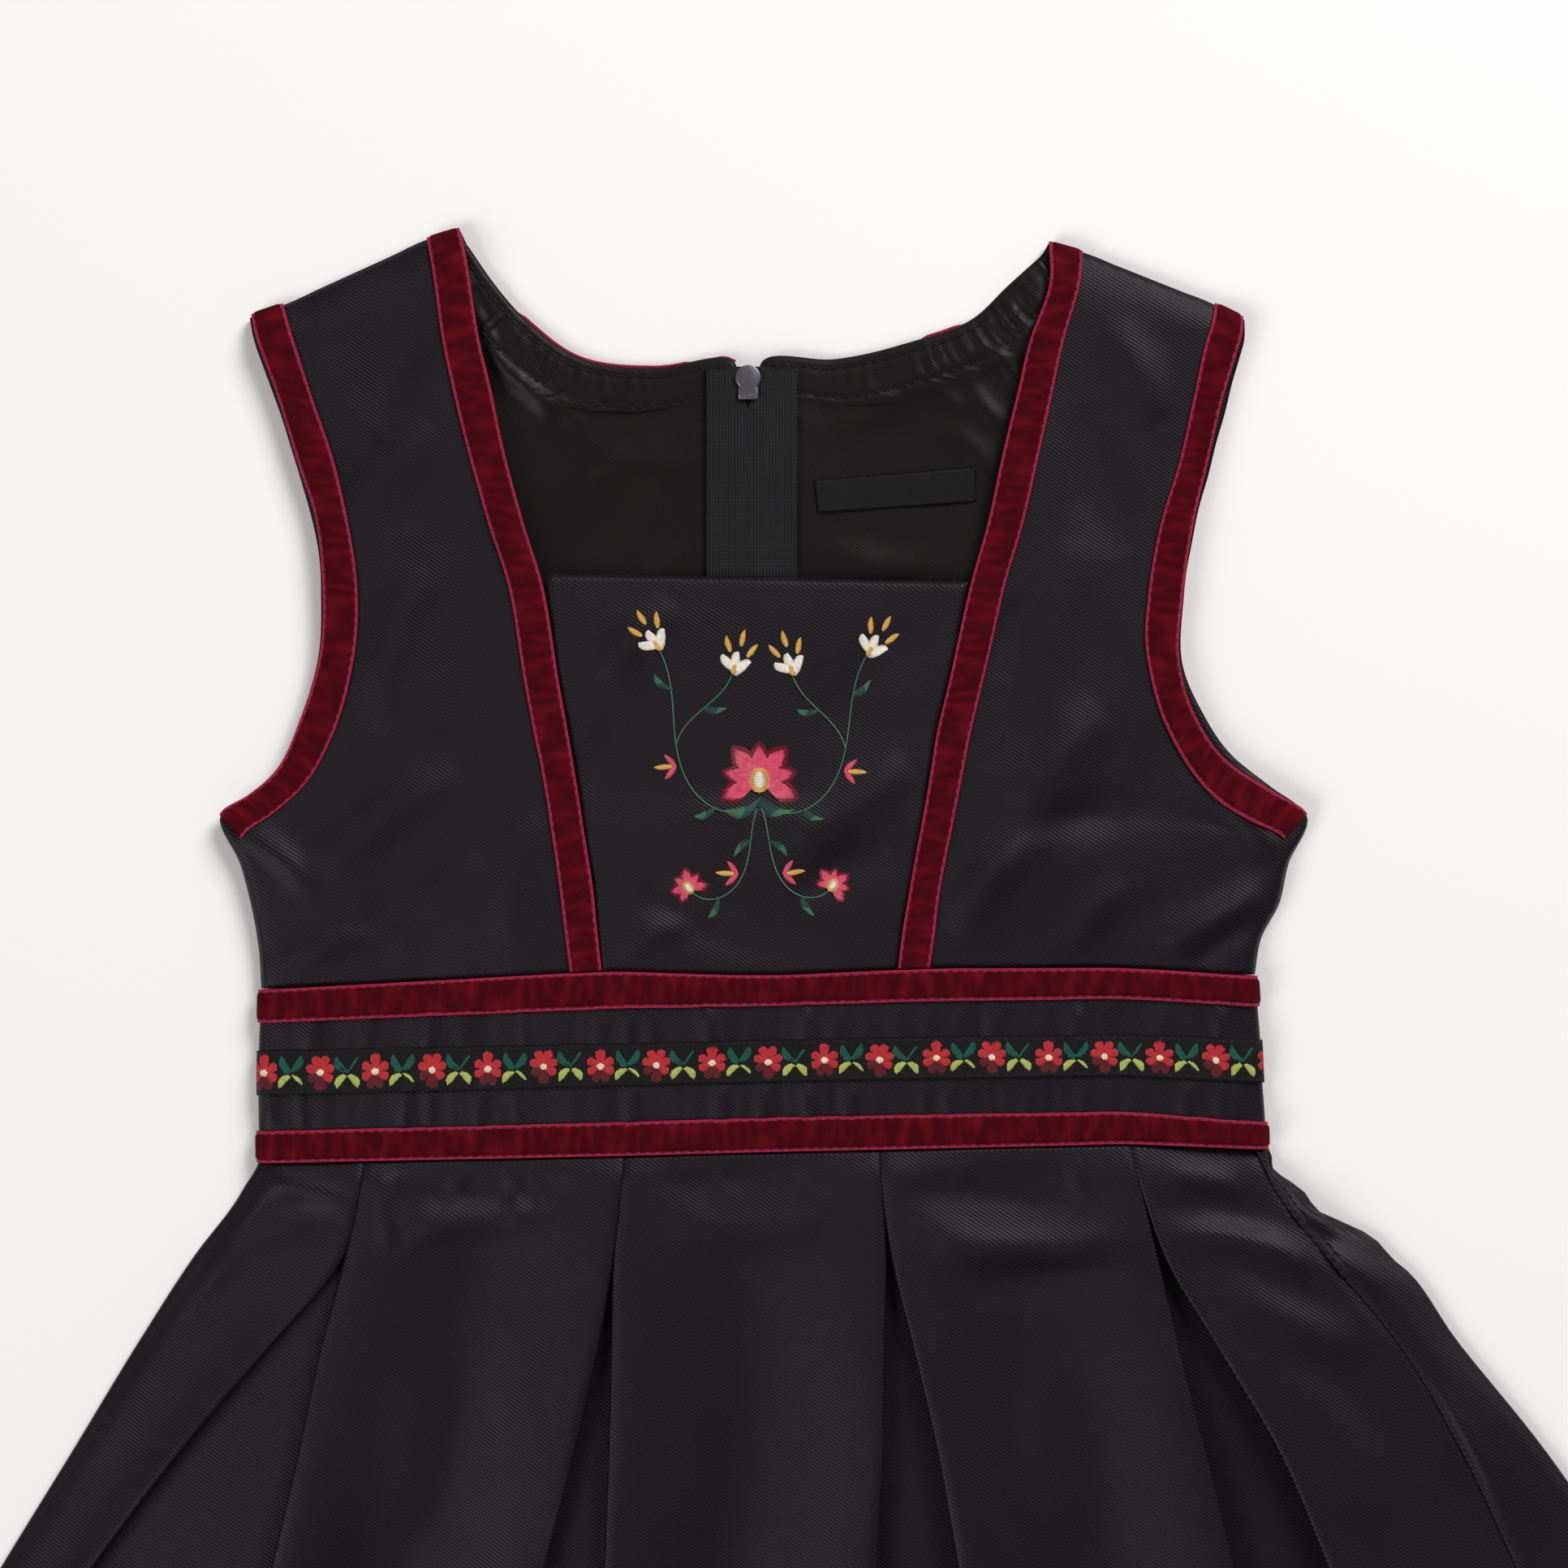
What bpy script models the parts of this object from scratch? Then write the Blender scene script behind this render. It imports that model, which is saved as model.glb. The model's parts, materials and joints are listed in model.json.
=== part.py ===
"""Child's sleeveless folk dress, laid on its back with the neck up.

Millimetres in the tables, metres in the scene. X runs across the dress, Y
from hem to neck, and Z up from the surface that the back rests on.
Each cloth piece is a surface lofted through rows of a table and given the
thickness of the cloth; a ribbon is made from the points of the panel that
carries it, moved out.
"""

from collections import namedtuple

import bmesh
import bpy
from mathutils import Matrix, Vector
from mathutils.bvhtree import BVHTree

MM = 0.001
CLOTH = 1.0
GAP = 0.3
SEAM_GAP = 0.4
LAYER = CLOTH + GAP
CENTRE_X = 12.9
CENTRE_Y = -78.9

# Zip: centre line, half the slit between the cloth edges, half the room for the slider
ZIP_X = -4.2
SLIT = 1.9
SLIDER_SLIT = 3.9
TAPE_LEFT = -16.1
TAPE_RIGHT = 9.7
PULL_Y = 219.0
PULL_Z = 1.2

COLORS = {
    "twill": (0.016, 0.014, 0.018),
    "velvet": (0.080, 0.004, 0.010),
    "jacquard": (0.060, 0.020, 0.018),
    "lining": (0.014, 0.012, 0.012),
    "tape": (0.026, 0.028, 0.031),
    "metal": (0.115, 0.110, 0.120),
    "satin": (0.012, 0.012, 0.013),
}

# Side panel of the bodice front: outer edge, inner edge of the armhole ribbon,
# outer edge of the neck ribbon, neck edge; and the height at five of its columns.
SideRow = namedtuple("SideRow", "edge trim neck_trim neck heights")
SEAM = (3.75, 5.2, 5.9, 6.0, 6.0)
UNDERARM = (4.4, 4.8, 5.2, 5.6, 5.9)
ARMHOLE = (4.9, 5.0, 5.1, 5.2, 5.6)
STRAP = (5.0, 5.0, 5.0, 5.0, 5.1)
NEAR_SHOULDER = (4.7, 4.7, 4.7, 4.7, 4.7)
SHOULDER = (3.1, 3.1, 3.1, 3.1, 3.1)

FRONT_LEFT = [
    SideRow((-142.4, 46.9), (-133.0, 47.8), (-54.7, 51.8), (-45.8, 52.2), SEAM),
    SideRow((-143.2, 58.0), (-134.0, 58.3), (-56.2, 62.5), (-47.1, 63.5), SEAM),
    SideRow((-145.4, 70.4), (-136.5, 71.0), (-57.5, 73.4), (-48.3, 75.4), SEAM),
    SideRow((-148.5, 82.0), (-141.0, 80.0), (-58.8, 83.0), (-49.8, 85.0), SEAM),
    SideRow((-154.1, 95.5), (-147.6, 88.9), (-60.4, 93.5), (-51.1, 93.0), UNDERARM),
    SideRow((-146.0, 101.3), (-138.2, 96.6), (-61.3, 99.5), (-52.0, 99.1), ARMHOLE),
    SideRow((-138.2, 108.1), (-130.0, 104.2), (-62.9, 109.0), (-53.6, 109.0), ARMHOLE),
    SideRow((-131.1, 123.3), (-122.0, 118.5), (-65.1, 119.6), (-55.4, 119.6), ARMHOLE),
    SideRow((-126.3, 138.7), (-116.8, 136.0), (-67.8, 134.0), (-58.0, 134.0), ARMHOLE),
    SideRow((-124.9, 158.2), (-115.0, 157.0), (-72.0, 159.5), (-62.1, 159.2), STRAP),
    SideRow((-127.0, 179.9), (-117.6, 178.4), (-78.3, 179.5), (-68.0, 178.6), STRAP),
    SideRow((-132.0, 195.3), (-121.7, 195.5), (-83.6, 198.5), (-73.5, 199.0), STRAP),
    SideRow((-138.2, 215.7), (-127.8, 213.5), (-88.3, 217.7), (-77.3, 217.0), STRAP),
    SideRow((-142.0, 226.0), (-132.0, 226.5), (-91.2, 232.0), (-80.8, 232.0), STRAP),
    SideRow((-144.4, 233.2), (-134.9, 235.6), (-94.2, 252.8), (-84.6, 255.5), NEAR_SHOULDER),
    SideRow((-145.4, 237.4), (-136.4, 240.6), (-95.5, 259.3), (-86.3, 262.2), SHOULDER),
]
FRONT_RIGHT = [
    SideRow((139.6, 50.8), (130.0, 51.5), (47.4, 52.8), (38.3, 52.2), SEAM),
    SideRow((141.4, 60.5), (132.3, 60.5), (48.8, 62.1), (39.6, 62.5), SEAM),
    SideRow((146.6, 70.5), (137.5, 70.5), (50.0, 72.0), (41.2, 72.0), SEAM),
    SideRow((149.3, 82.0), (141.5, 79.5), (51.9, 83.0), (43.1, 83.0), SEAM),
    SideRow((154.4, 95.8), (147.8, 88.8), (53.9, 93.0), (45.0, 93.0), UNDERARM),
    SideRow((144.5, 102.4), (139.0, 93.4), (55.0, 98.5), (46.2, 99.5), ARMHOLE),
    SideRow((131.5, 111.2), (126.0, 102.6), (57.0, 109.0), (47.8, 109.0), ARMHOLE),
    SideRow((122.3, 124.8), (114.3, 121.2), (59.1, 119.6), (49.5, 119.6), ARMHOLE),
    SideRow((118.4, 138.0), (109.3, 139.0), (63.9, 133.6), (54.1, 132.5), ARMHOLE),
    SideRow((119.3, 158.5), (109.5, 158.8), (68.4, 159.5), (58.6, 159.5), STRAP),
    SideRow((122.6, 179.9), (113.4, 180.0), (74.3, 180.0), (64.3, 180.4), STRAP),
    SideRow((126.3, 195.3), (117.9, 194.5), (77.8, 195.5), (67.6, 196.0), STRAP),
    SideRow((130.5, 213.5), (122.3, 214.0), (82.2, 215.5), (72.4, 216.0), STRAP),
    SideRow((134.4, 226.5), (125.4, 228.5), (85.6, 231.0), (76.0, 231.0), STRAP),
    SideRow((136.2, 233.0), (127.6, 236.0), (90.2, 247.5), (81.6, 248.0), NEAR_SHOULDER),
    SideRow((136.4, 236.7), (128.4, 240.7), (90.9, 255.7), (81.4, 258.5), SHOULDER),
]
ARMHOLE_FROM = 4
NECKLINE_ROW = 9

# Half of the back: the same columns, with the heights at the edge, between the
# ribbons, and at the two edges of the neck ribbon. The cloth rises over a ribbon.
BackRow = namedtuple("BackRow", "edge trim neck_trim neck heights")
BY_BAND = (2.8, 2.2, 1.9, 1.8, 1.8, 1.8, 1.8)
BY_SEAM = (2.8, 1.6, 0.8, 0.5, 0.5, 0.5, 0.5)
BY_ARMHOLE = (1.8, 1.8, 1.8, 1.8, 0.5, 0.5, 0.5)
BY_ZIP = (1.8, 1.8, 1.8, 1.8, 0.5, 2.2, 2.4)
BY_NECK = (1.8, 1.8, 1.8, 1.8, 0.5, 1.8, 1.8)
ON_SHOULDER = (1.8, 1.8, 1.8, 1.8, 1.8, 1.8, 1.8)
LEFT_SLIT = ZIP_X - SLIT
RIGHT_SLIT = ZIP_X + SLIT
LEFT_SLIDER = ZIP_X - SLIDER_SLIT
RIGHT_SLIDER = ZIP_X + SLIDER_SLIT

BACK_LEFT = [
    BackRow((-142.4, 46.9), (-133.0, 47.8), (-14.9, 50.6), (LEFT_SLIT, 50.4), BY_BAND),
    BackRow((-143.2, 58.0), (-134.0, 58.3), (-14.9, 60.0), (LEFT_SLIT, 60.0), BY_SEAM),
    BackRow((-145.4, 70.4), (-136.5, 71.0), (-14.9, 73.0), (LEFT_SLIT, 73.0), BY_SEAM),
    BackRow((-148.5, 82.0), (-141.0, 80.0), (-14.9, 84.0), (LEFT_SLIT, 84.0), BY_SEAM),
    BackRow((-153.4, 95.6), (-147.6, 88.9), (-14.9, 93.0), (LEFT_SLIT, 93.0), BY_ARMHOLE),
    BackRow((-145.6, 101.8), (-138.2, 96.6), (-14.9, 99.0), (LEFT_SLIT, 99.0), BY_ARMHOLE),
    BackRow((-138.4, 108.8), (-130.0, 104.2), (-14.9, 108.0), (LEFT_SLIT, 108.0), BY_ARMHOLE),
    BackRow((-131.6, 123.6), (-122.0, 118.5), (-14.9, 120.0), (LEFT_SLIT, 120.0), BY_ARMHOLE),
    BackRow((-127.0, 138.9), (-116.8, 136.0), (-14.9, 134.0), (LEFT_SLIT, 134.0), BY_ARMHOLE),
    BackRow((-125.9, 158.2), (-115.2, 157.0), (-14.9, 159.0), (LEFT_SLIT, 159.0), BY_ARMHOLE),
    BackRow((-127.6, 176.0), (-117.6, 176.0), (-14.9, 196.0), (LEFT_SLIT, 200.0), BY_ZIP),
    BackRow((-129.6, 184.0), (-119.6, 184.6), (-15.4, 207.5), (LEFT_SLIDER, 212.5), BY_ZIP),
    BackRow((-131.8, 191.5), (-121.6, 192.5), (-13.9, 215.0), (LEFT_SLIDER, 224.5), BY_ZIP),
    BackRow((-134.4, 200.0), (-124.2, 200.5), (-30.0, 213.6), (-30.0, 222.9), BY_NECK),
    BackRow((-137.2, 209.0), (-127.0, 209.0), (-52.7, 216.0), (-50.5, 225.0), BY_NECK),
    BackRow((-141.0, 219.5), (-130.5, 219.5), (-72.0, 228.0), (-66.0, 235.1), BY_NECK),
    BackRow((-144.6, 229.5), (-133.8, 230.5), (-85.3, 243.1), (-77.1, 247.5), BY_NECK),
    BackRow((-145.6, 233.5), (-135.6, 236.2), (-93.2, 254.0), (-84.0, 257.5), ON_SHOULDER),
    BackRow((-146.2, 237.2), (-136.4, 240.6), (-95.5, 259.3), (-86.3, 262.2), ON_SHOULDER),
]
BACK_RIGHT = [
    BackRow((139.6, 50.8), (130.0, 51.5), (6.5, 50.4), (RIGHT_SLIT, 50.4), BY_BAND),
    BackRow((141.4, 60.5), (132.3, 60.5), (6.5, 60.0), (RIGHT_SLIT, 60.0), BY_SEAM),
    BackRow((146.6, 70.5), (137.5, 70.5), (6.5, 73.0), (RIGHT_SLIT, 73.0), BY_SEAM),
    BackRow((149.3, 82.0), (141.5, 79.5), (6.5, 84.0), (RIGHT_SLIT, 84.0), BY_SEAM),
    BackRow((154.0, 96.2), (147.8, 88.8), (6.5, 93.0), (RIGHT_SLIT, 93.0), BY_ARMHOLE),
    BackRow((145.0, 103.4), (139.0, 93.4), (6.5, 99.0), (RIGHT_SLIT, 99.0), BY_ARMHOLE),
    BackRow((133.6, 112.6), (126.0, 102.6), (6.5, 108.0), (RIGHT_SLIT, 108.0), BY_ARMHOLE),
    BackRow((124.8, 125.6), (115.0, 121.2), (6.5, 120.0), (RIGHT_SLIT, 120.0), BY_ARMHOLE),
    BackRow((119.6, 138.2), (109.8, 139.0), (6.5, 134.0), (RIGHT_SLIT, 134.0), BY_ARMHOLE),
    BackRow((120.0, 158.5), (109.8, 158.8), (6.5, 159.0), (RIGHT_SLIT, 159.0), BY_ARMHOLE),
    BackRow((122.4, 174.0), (112.4, 175.0), (6.5, 196.0), (RIGHT_SLIT, 200.0), BY_ZIP),
    BackRow((124.2, 183.0), (114.6, 184.0), (7.0, 207.5), (RIGHT_SLIDER, 212.5), BY_ZIP),
    BackRow((126.8, 192.0), (117.2, 193.0), (5.5, 215.0), (RIGHT_SLIDER, 224.5), BY_ZIP),
    BackRow((129.0, 201.0), (119.4, 202.0), (21.3, 216.1), (20.0, 225.3), BY_NECK),
    BackRow((131.6, 210.0), (122.0, 211.5), (44.6, 221.3), (42.0, 230.2), BY_NECK),
    BackRow((133.8, 219.0), (124.2, 221.0), (65.2, 229.4), (60.0, 237.0), BY_NECK),
    BackRow((136.0, 226.5), (126.6, 228.5), (76.0, 239.0), (70.0, 246.4), BY_NECK),
    BackRow((137.2, 231.2), (127.6, 233.6), (85.6, 245.0), (78.6, 254.2), ON_SHOULDER),
    BackRow((137.2, 236.6), (128.6, 240.7), (90.9, 255.7), (81.4, 258.5), ON_SHOULDER),
]
NECK_FROM = 12
LINING_FROM = 8
LINING_TO = 17

# Waistband: height of each line at six places across, and where its ends are
BandLine = namedtuple("BandLine", "left at_m45 at_0 at_47 at_104 right left_x right_x")
BAND = [
    BandLine(-3.2, -1.2, 0.0, 1.0, 2.3, 0.7, -143.0, 142.9),
    BandLine(5.8, 8.3, 9.7, 10.6, 11.4, 8.3, -143.1, 142.6),
    BandLine(15.9, 18.6, 19.8, 20.8, 21.6, 19.6, -143.2, 141.8),
    BandLine(28.5, 30.4, 31.5, 32.4, 33.1, 31.7, -143.1, 141.2),
    BandLine(36.6, 40.6, 41.4, 42.8, 43.5, 41.2, -142.8, 140.4),
    BandLine(45.9, 51.2, 49.9, 52.0, 52.2, 49.8, -142.5, 139.7),
]
BAND_TRIMS = (("waist_velvet_lower", 0), ("jacquard_ribbon", 2), ("waist_velvet_upper", 4))
BAND_FRONT_Z = (3.75, 5.2, 5.9, 6.0)
BAND_BACK_Z = (2.8, 2.2, 1.9, 1.8)
ROLL = (0.0, 1.2, 4.0, 9.5)

# Skirt: a row for each line round it. Height on the centre line, rise at the sides,
# left outline, the two edges of each front pleat, right outline, the right seam on
# the front, and the depth of the pleats.
SkirtRow = namedtuple("SkirtRow", "y rise left a1 b1 a2 b2 a3 b3 a4 b4 right seam depth seam_z")
SKIRT = [
    SkirtRow(0, 0, -143.6, -113.9, -112.6, -40.0, -38.7, 32.4, 33.7, 103.4, 104.7, 144.0, 140.0, 22, 3.6),
    SkirtRow(-12, 0, -148.5, -115.2, -113.8, -41.0, -39.6, 33.2, 34.7, 106.7, 108.5, 151.2, 146.0, 22, 4.0),
    SkirtRow(-30, 0, -161.8, -119.9, -117.6, -43.3, -41.4, 34.0, 37.4, 111.0, 115.0, 179.0, 160.0, 22, 5.0),
    SkirtRow(-55, 0, -178.0, -140.6, -124.2, -47.4, -42.0, 33.6, 43.5, 117.0, 129.6, 198.2, 180.5, 21, 5.0),
    SkirtRow(-85, 0, -196.2, -166.0, -130.5, -54.2, -42.8, 33.1, 50.4, 124.6, 147.2, 222.4, 198.2, 20, 5.0),
    SkirtRow(-118, 0, -216.5, -190.9, -138.2, -62.6, -43.9, 31.5, 56.4, 132.7, 161.2, 245.0, 213.8, 18, 5.0),
    SkirtRow(-190, 8, -257.0, -232.0, -153.0, -79.0, -46.0, 30.0, 72.0, 150.0, 192.0, 285.0, 246.0, 15, 5.0),
    SkirtRow(-290, 32, -300.0, -274.0, -174.0, -102.0, -49.0, 28.0, 94.0, 175.0, 232.0, 326.0, 281.0, 13, 5.0),
    SkirtRow(-420, 64, -347.0, -320.0, -200.0, -132.0, -52.0, 25.0, 122.0, 206.0, 282.0, 372.8, 322.0, 12, 5.0),
]
RISE_AT = 350.0
LEFT_WRAP = 11.0
BACK_SHIFT = (4.0, 3.0, -2.0, -2.0)
BACK_SHALLOWER = 4.0
ZIP_ROWS = 5
FLOOR_Z = 0.5
FOLD_Z = 1.9
TOP_Z = 7.0
SAG_Z = 5.2

# Zip tape: height along it, from the neck down, and how far its inner edge is from the centre
TapeRow = namedtuple("TapeRow", "y z inner")
TAPE = [
    TapeRow(-80.0, 1.8, 0.15),
    TapeRow(-25.0, 1.8, 0.15),
    TapeRow(-10.0, 3.1, 0.15),
    TapeRow(52.0, 3.1, 0.15),
    TapeRow(159.0, 3.1, 0.15),
    TapeRow(195.0, 5.0, 0.15),
    TapeRow(212.0, 5.0, 0.15),
    TapeRow(214.0, 5.0, 1.4),
    TapeRow(223.0, 5.0, 1.4),
]
CoilRow = namedtuple("CoilRow", "y low high")
COIL = [
    CoilRow(-80.0, 0.2, 1.0),
    CoilRow(-25.0, 0.2, 1.0),
    CoilRow(-10.0, 0.2, 2.3),
    CoilRow(159.0, 0.2, 2.3),
    CoilRow(196.0, 2.0, 4.2),
    CoilRow(213.2, 2.0, 4.2),
]
COIL_HALF = 1.3
LABEL_CORNERS = ((15.6, 181.7), (60.7, 184.9), (60.7, 194.6), (14.5, 190.7))


def clear_scene():
    """Remove every object of the file."""
    for obj in list(bpy.data.objects):
        bpy.data.objects.remove(obj, do_unlink=True)


def make_collection(name, hidden=False):
    """Link a new collection to the scene."""
    collection = bpy.data.collections.new(name)
    collection.hide_render = hidden
    bpy.context.scene.collection.children.link(collection)
    return collection


def make_material(name, finish, roughness, metallic=0.0):
    """Principled material in one of the named colours."""
    material = bpy.data.materials.new(name)
    material.use_nodes = True
    shader = material.node_tree.nodes["Principled BSDF"]
    shader.inputs["Base Color"].default_value = (*COLORS[finish], 1.0)
    shader.inputs["Roughness"].default_value = roughness
    shader.inputs["Metallic"].default_value = metallic
    return material


def to_scene(point):
    """A point of the tables, in millimetres, in the scene."""
    return Vector((point[0] - CENTRE_X, point[1] - CENTRE_Y, point[2])) * MM


def mix(first, second, share):
    """The point that lies the given share of the way from first to second."""
    return tuple(a + (b - a) * share for a, b in zip(first, second))


def link(name, mesh, material, collection):
    """Object from a mesh, in the dress's collection."""
    mesh.materials.append(material)
    obj = bpy.data.objects.new(name, mesh)
    collection.objects.link(obj)
    return obj


def loft(name, rows, finish, collection, roughness=0.8, thickness=CLOTH):
    """Cloth wall about a surface through rows of points, the same number in each."""
    mesh = bpy.data.meshes.new(name)
    bm = bmesh.new()
    grid = [[bm.verts.new(to_scene(point)) for point in row] for row in rows]
    upward = rows[0][-1][0] > rows[0][0][0]
    for low, high in zip(grid, grid[1:]):
        for i in range(len(low) - 1):
            corners = (low[i], low[i + 1], high[i + 1], high[i])
            bm.faces.new(corners if upward else corners[::-1])
    bm.to_mesh(mesh)
    bm.free()
    obj = link(name, mesh, make_material(name, finish, roughness), collection)
    solid = obj.modifiers.new("cloth", "SOLIDIFY")
    solid.thickness = thickness * MM
    solid.offset = 0.0
    solid.use_even_offset = True
    solid.use_quality_normals = True
    return obj


def moved_out(rows, distance):
    """The rows' surface at a distance from itself; up if it is positive."""
    moved = []
    last_row = len(rows) - 1
    for j, row in enumerate(rows):
        below = rows[max(j - 1, 0)]
        above = rows[min(j + 1, last_row)]
        last = len(row) - 1
        line = []
        for i, point in enumerate(row):
            across = Vector(row[min(i + 1, last)]) - Vector(row[max(i - 1, 0)])
            along = Vector(above[i]) - Vector(below[i])
            normal = across.cross(along).normalized()
            if normal.z < 0:
                normal.negate()
            line.append(tuple(Vector(point) + normal * distance))
        moved.append(line)
    return moved


def part_of(rows, first_row, last_row, first_column, last_column):
    """A block of a grid, both ends included."""
    return [row[first_column : last_column + 1] for row in rows[first_row : last_row + 1]]


def band_y(line, x):
    """Height of a line of the waistband at x."""
    stations = (line.left_x, -45.0, 0.0, 47.4, 104.0, line.right_x)
    heights = line[:6]
    for i in range(5):
        if x <= stations[i + 1] or i == 4:
            share = (x - stations[i]) / (stations[i + 1] - stations[i])
            return heights[i] + (heights[i + 1] - heights[i]) * share
    return heights[5]


def side_grid(table):
    """Points of a panel from its edge to the neck: nine columns."""
    rows = []
    for row in table:
        high = row.heights
        if len(high) == 5:
            inner = [high[3] + (high[4] - high[3]) * k / 5 for k in range(1, 4)] + [high[4]] * 2
        else:
            inner = [high[4]] * 3 + [high[5], high[6]]
        flat = [mix(row.edge, row.trim, share) for share in (0.0, 0.13, 0.42, 1.0)]
        flat += [mix(row.trim, row.neck_trim, share) for share in (0.25, 0.5, 0.75, 1.0)]
        flat.append(row.neck)
        heights = list(high[:4]) + inner
        rows.append([(x, y, z) for (x, y), z in zip(flat, heights)])
    rows[0] = [(x, band_y(BAND[5], x) + SEAM_GAP, z) for x, _, z in rows[0]]
    return rows


def waist_places(table):
    """Where a side panel's columns between its trims meet the waistband."""
    return sorted(x for x, _, _ in side_grid(table)[0][4:])


def build_front(collection):
    """Bodice front: two side panels with their ribbons, and the centre panel."""
    for side, table in (("left", FRONT_LEFT), ("right", FRONT_RIGHT)):
        grid = side_grid(table)
        loft(f"front_side_{side}", grid, "twill", collection)
        out = moved_out(grid, LAYER)
        last = len(grid) - 1
        neck = part_of(out, 0, last, 7, 8)
        loft(f"neck_velvet_front_{side}", neck, "velvet", collection)
        armhole = part_of(out, ARMHOLE_FROM, last, 0, 3)
        loft(f"armhole_velvet_front_{side}", armhole, "velvet", collection)
    rows = []
    for left, right in zip(FRONT_LEFT[: NECKLINE_ROW + 1], FRONT_RIGHT[: NECKLINE_ROW + 1]):
        start = (left.neck[0] + GAP, left.neck[1], left.heights[4])
        end = (right.neck[0] - GAP, right.neck[1], right.heights[4])
        rows.append([mix(start, end, k / 6) for k in range(7)])
    rows[0] = [(x, band_y(BAND[5], x) + SEAM_GAP, z) for x, _, z in rows[0]]
    rows[-1] = [(x, 164.2 - 0.4 * k, z) for k, (x, _, z) in enumerate(rows[-1])]
    loft("front_center", rows, "twill", collection)


def build_back(collection):
    """Bodice back: two halves, their ribbons on the underside, and the lining."""
    linings = {}
    for side, table in (("left", BACK_LEFT), ("right", BACK_RIGHT)):
        grid = side_grid(table)
        loft(f"back_{side}", grid, "twill", collection)
        under = moved_out(grid, -LAYER)
        last = len(grid) - 1
        neck = part_of(under, NECK_FROM, last, 7, 8)
        loft(f"neck_velvet_back_{side}", neck, "velvet", collection)
        armhole = part_of(under, ARMHOLE_FROM, last, 0, 3)
        loft(f"armhole_velvet_back_{side}", armhole, "velvet", collection)
        lining = part_of(moved_out(grid, LAYER), LINING_FROM, LINING_TO, 4, 8)
        loft(f"lining_{side}", lining, "lining", collection, 0.55)
        linings[side] = lining
    return linings


def band_columns(start, end, rolled_start, rolled_end, heights, places):
    """(x, z) across the waistband between two ends, one or both of them rolled."""
    columns = []
    if rolled_start:
        columns += [(start + step, z) for step, z in zip(ROLL, heights)]
    else:
        columns.append((start, heights[-1]))
    columns += [(x, heights[-1]) for x in places]
    if rolled_end:
        columns += [(end - step, z) for step, z in zip(ROLL, heights)][::-1]
    else:
        columns.append((end, heights[-1]))
    return columns


def build_band(collection):
    """Waistband, in a front and two backs, each with its three ribbons."""
    middle = waist_places(FRONT_LEFT) + [-20, 0, 20] + waist_places(FRONT_RIGHT)
    pieces = (
        ("front", None, None, BAND_FRONT_Z, middle, LAYER),
        ("back_left", None, LEFT_SLIT, BAND_BACK_Z, waist_places(BACK_LEFT)[:-1], -LAYER),
        ("back_right", RIGHT_SLIT, None, BAND_BACK_Z, waist_places(BACK_RIGHT)[1:], -LAYER),
    )
    for name, start, end, heights, places, out in pieces:
        rows = []
        for line in BAND:
            first = line.left_x if start is None else start
            final = line.right_x if end is None else end
            across = band_columns(first, final, start is None, end is None, heights, places)
            rows.append([(x, band_y(line, x), z) for x, z in across])
        loft(f"waistband_{name}", rows, "twill", collection)
        outer = moved_out(rows, out)
        for trim, line in BAND_TRIMS:
            finish = "jacquard" if trim.startswith("jacquard") else "velvet"
            loft(f"{trim}_{name}", outer[line : line + 2], finish, collection)


def pleat(a, b, depth, top, step):
    """Inverted box pleat from edge a to edge b: (x, z) down, under and up again."""
    return [
        (a, top),
        (a, top + step),
        (a - depth, top + step),
        (a - depth, top + 2 * step),
        (b + depth, top + 2 * step),
        (b + depth, top + step),
        (b, top + step),
        (b, top),
    ]


def section(start, end, depth_start, depth_end, top, middle):
    """Flat part between two pleats, sinking in its middle where nothing is under it."""
    return [
        (start + depth_start, top),
        ((start + depth_start + end - depth_end) / 2, middle),
        (end - depth_end, top),
    ]


def skirt_line(row, columns):
    """Points round one row of the skirt."""
    waist = row.y == 0
    line = []
    for x, z in columns:
        y = band_y(BAND[0], min(max(x, -143.0), 142.9)) - SEAM_GAP if waist else row.y
        line.append((x, y + row.rise * (x / RISE_AT) ** 2, z))
    return line


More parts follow.
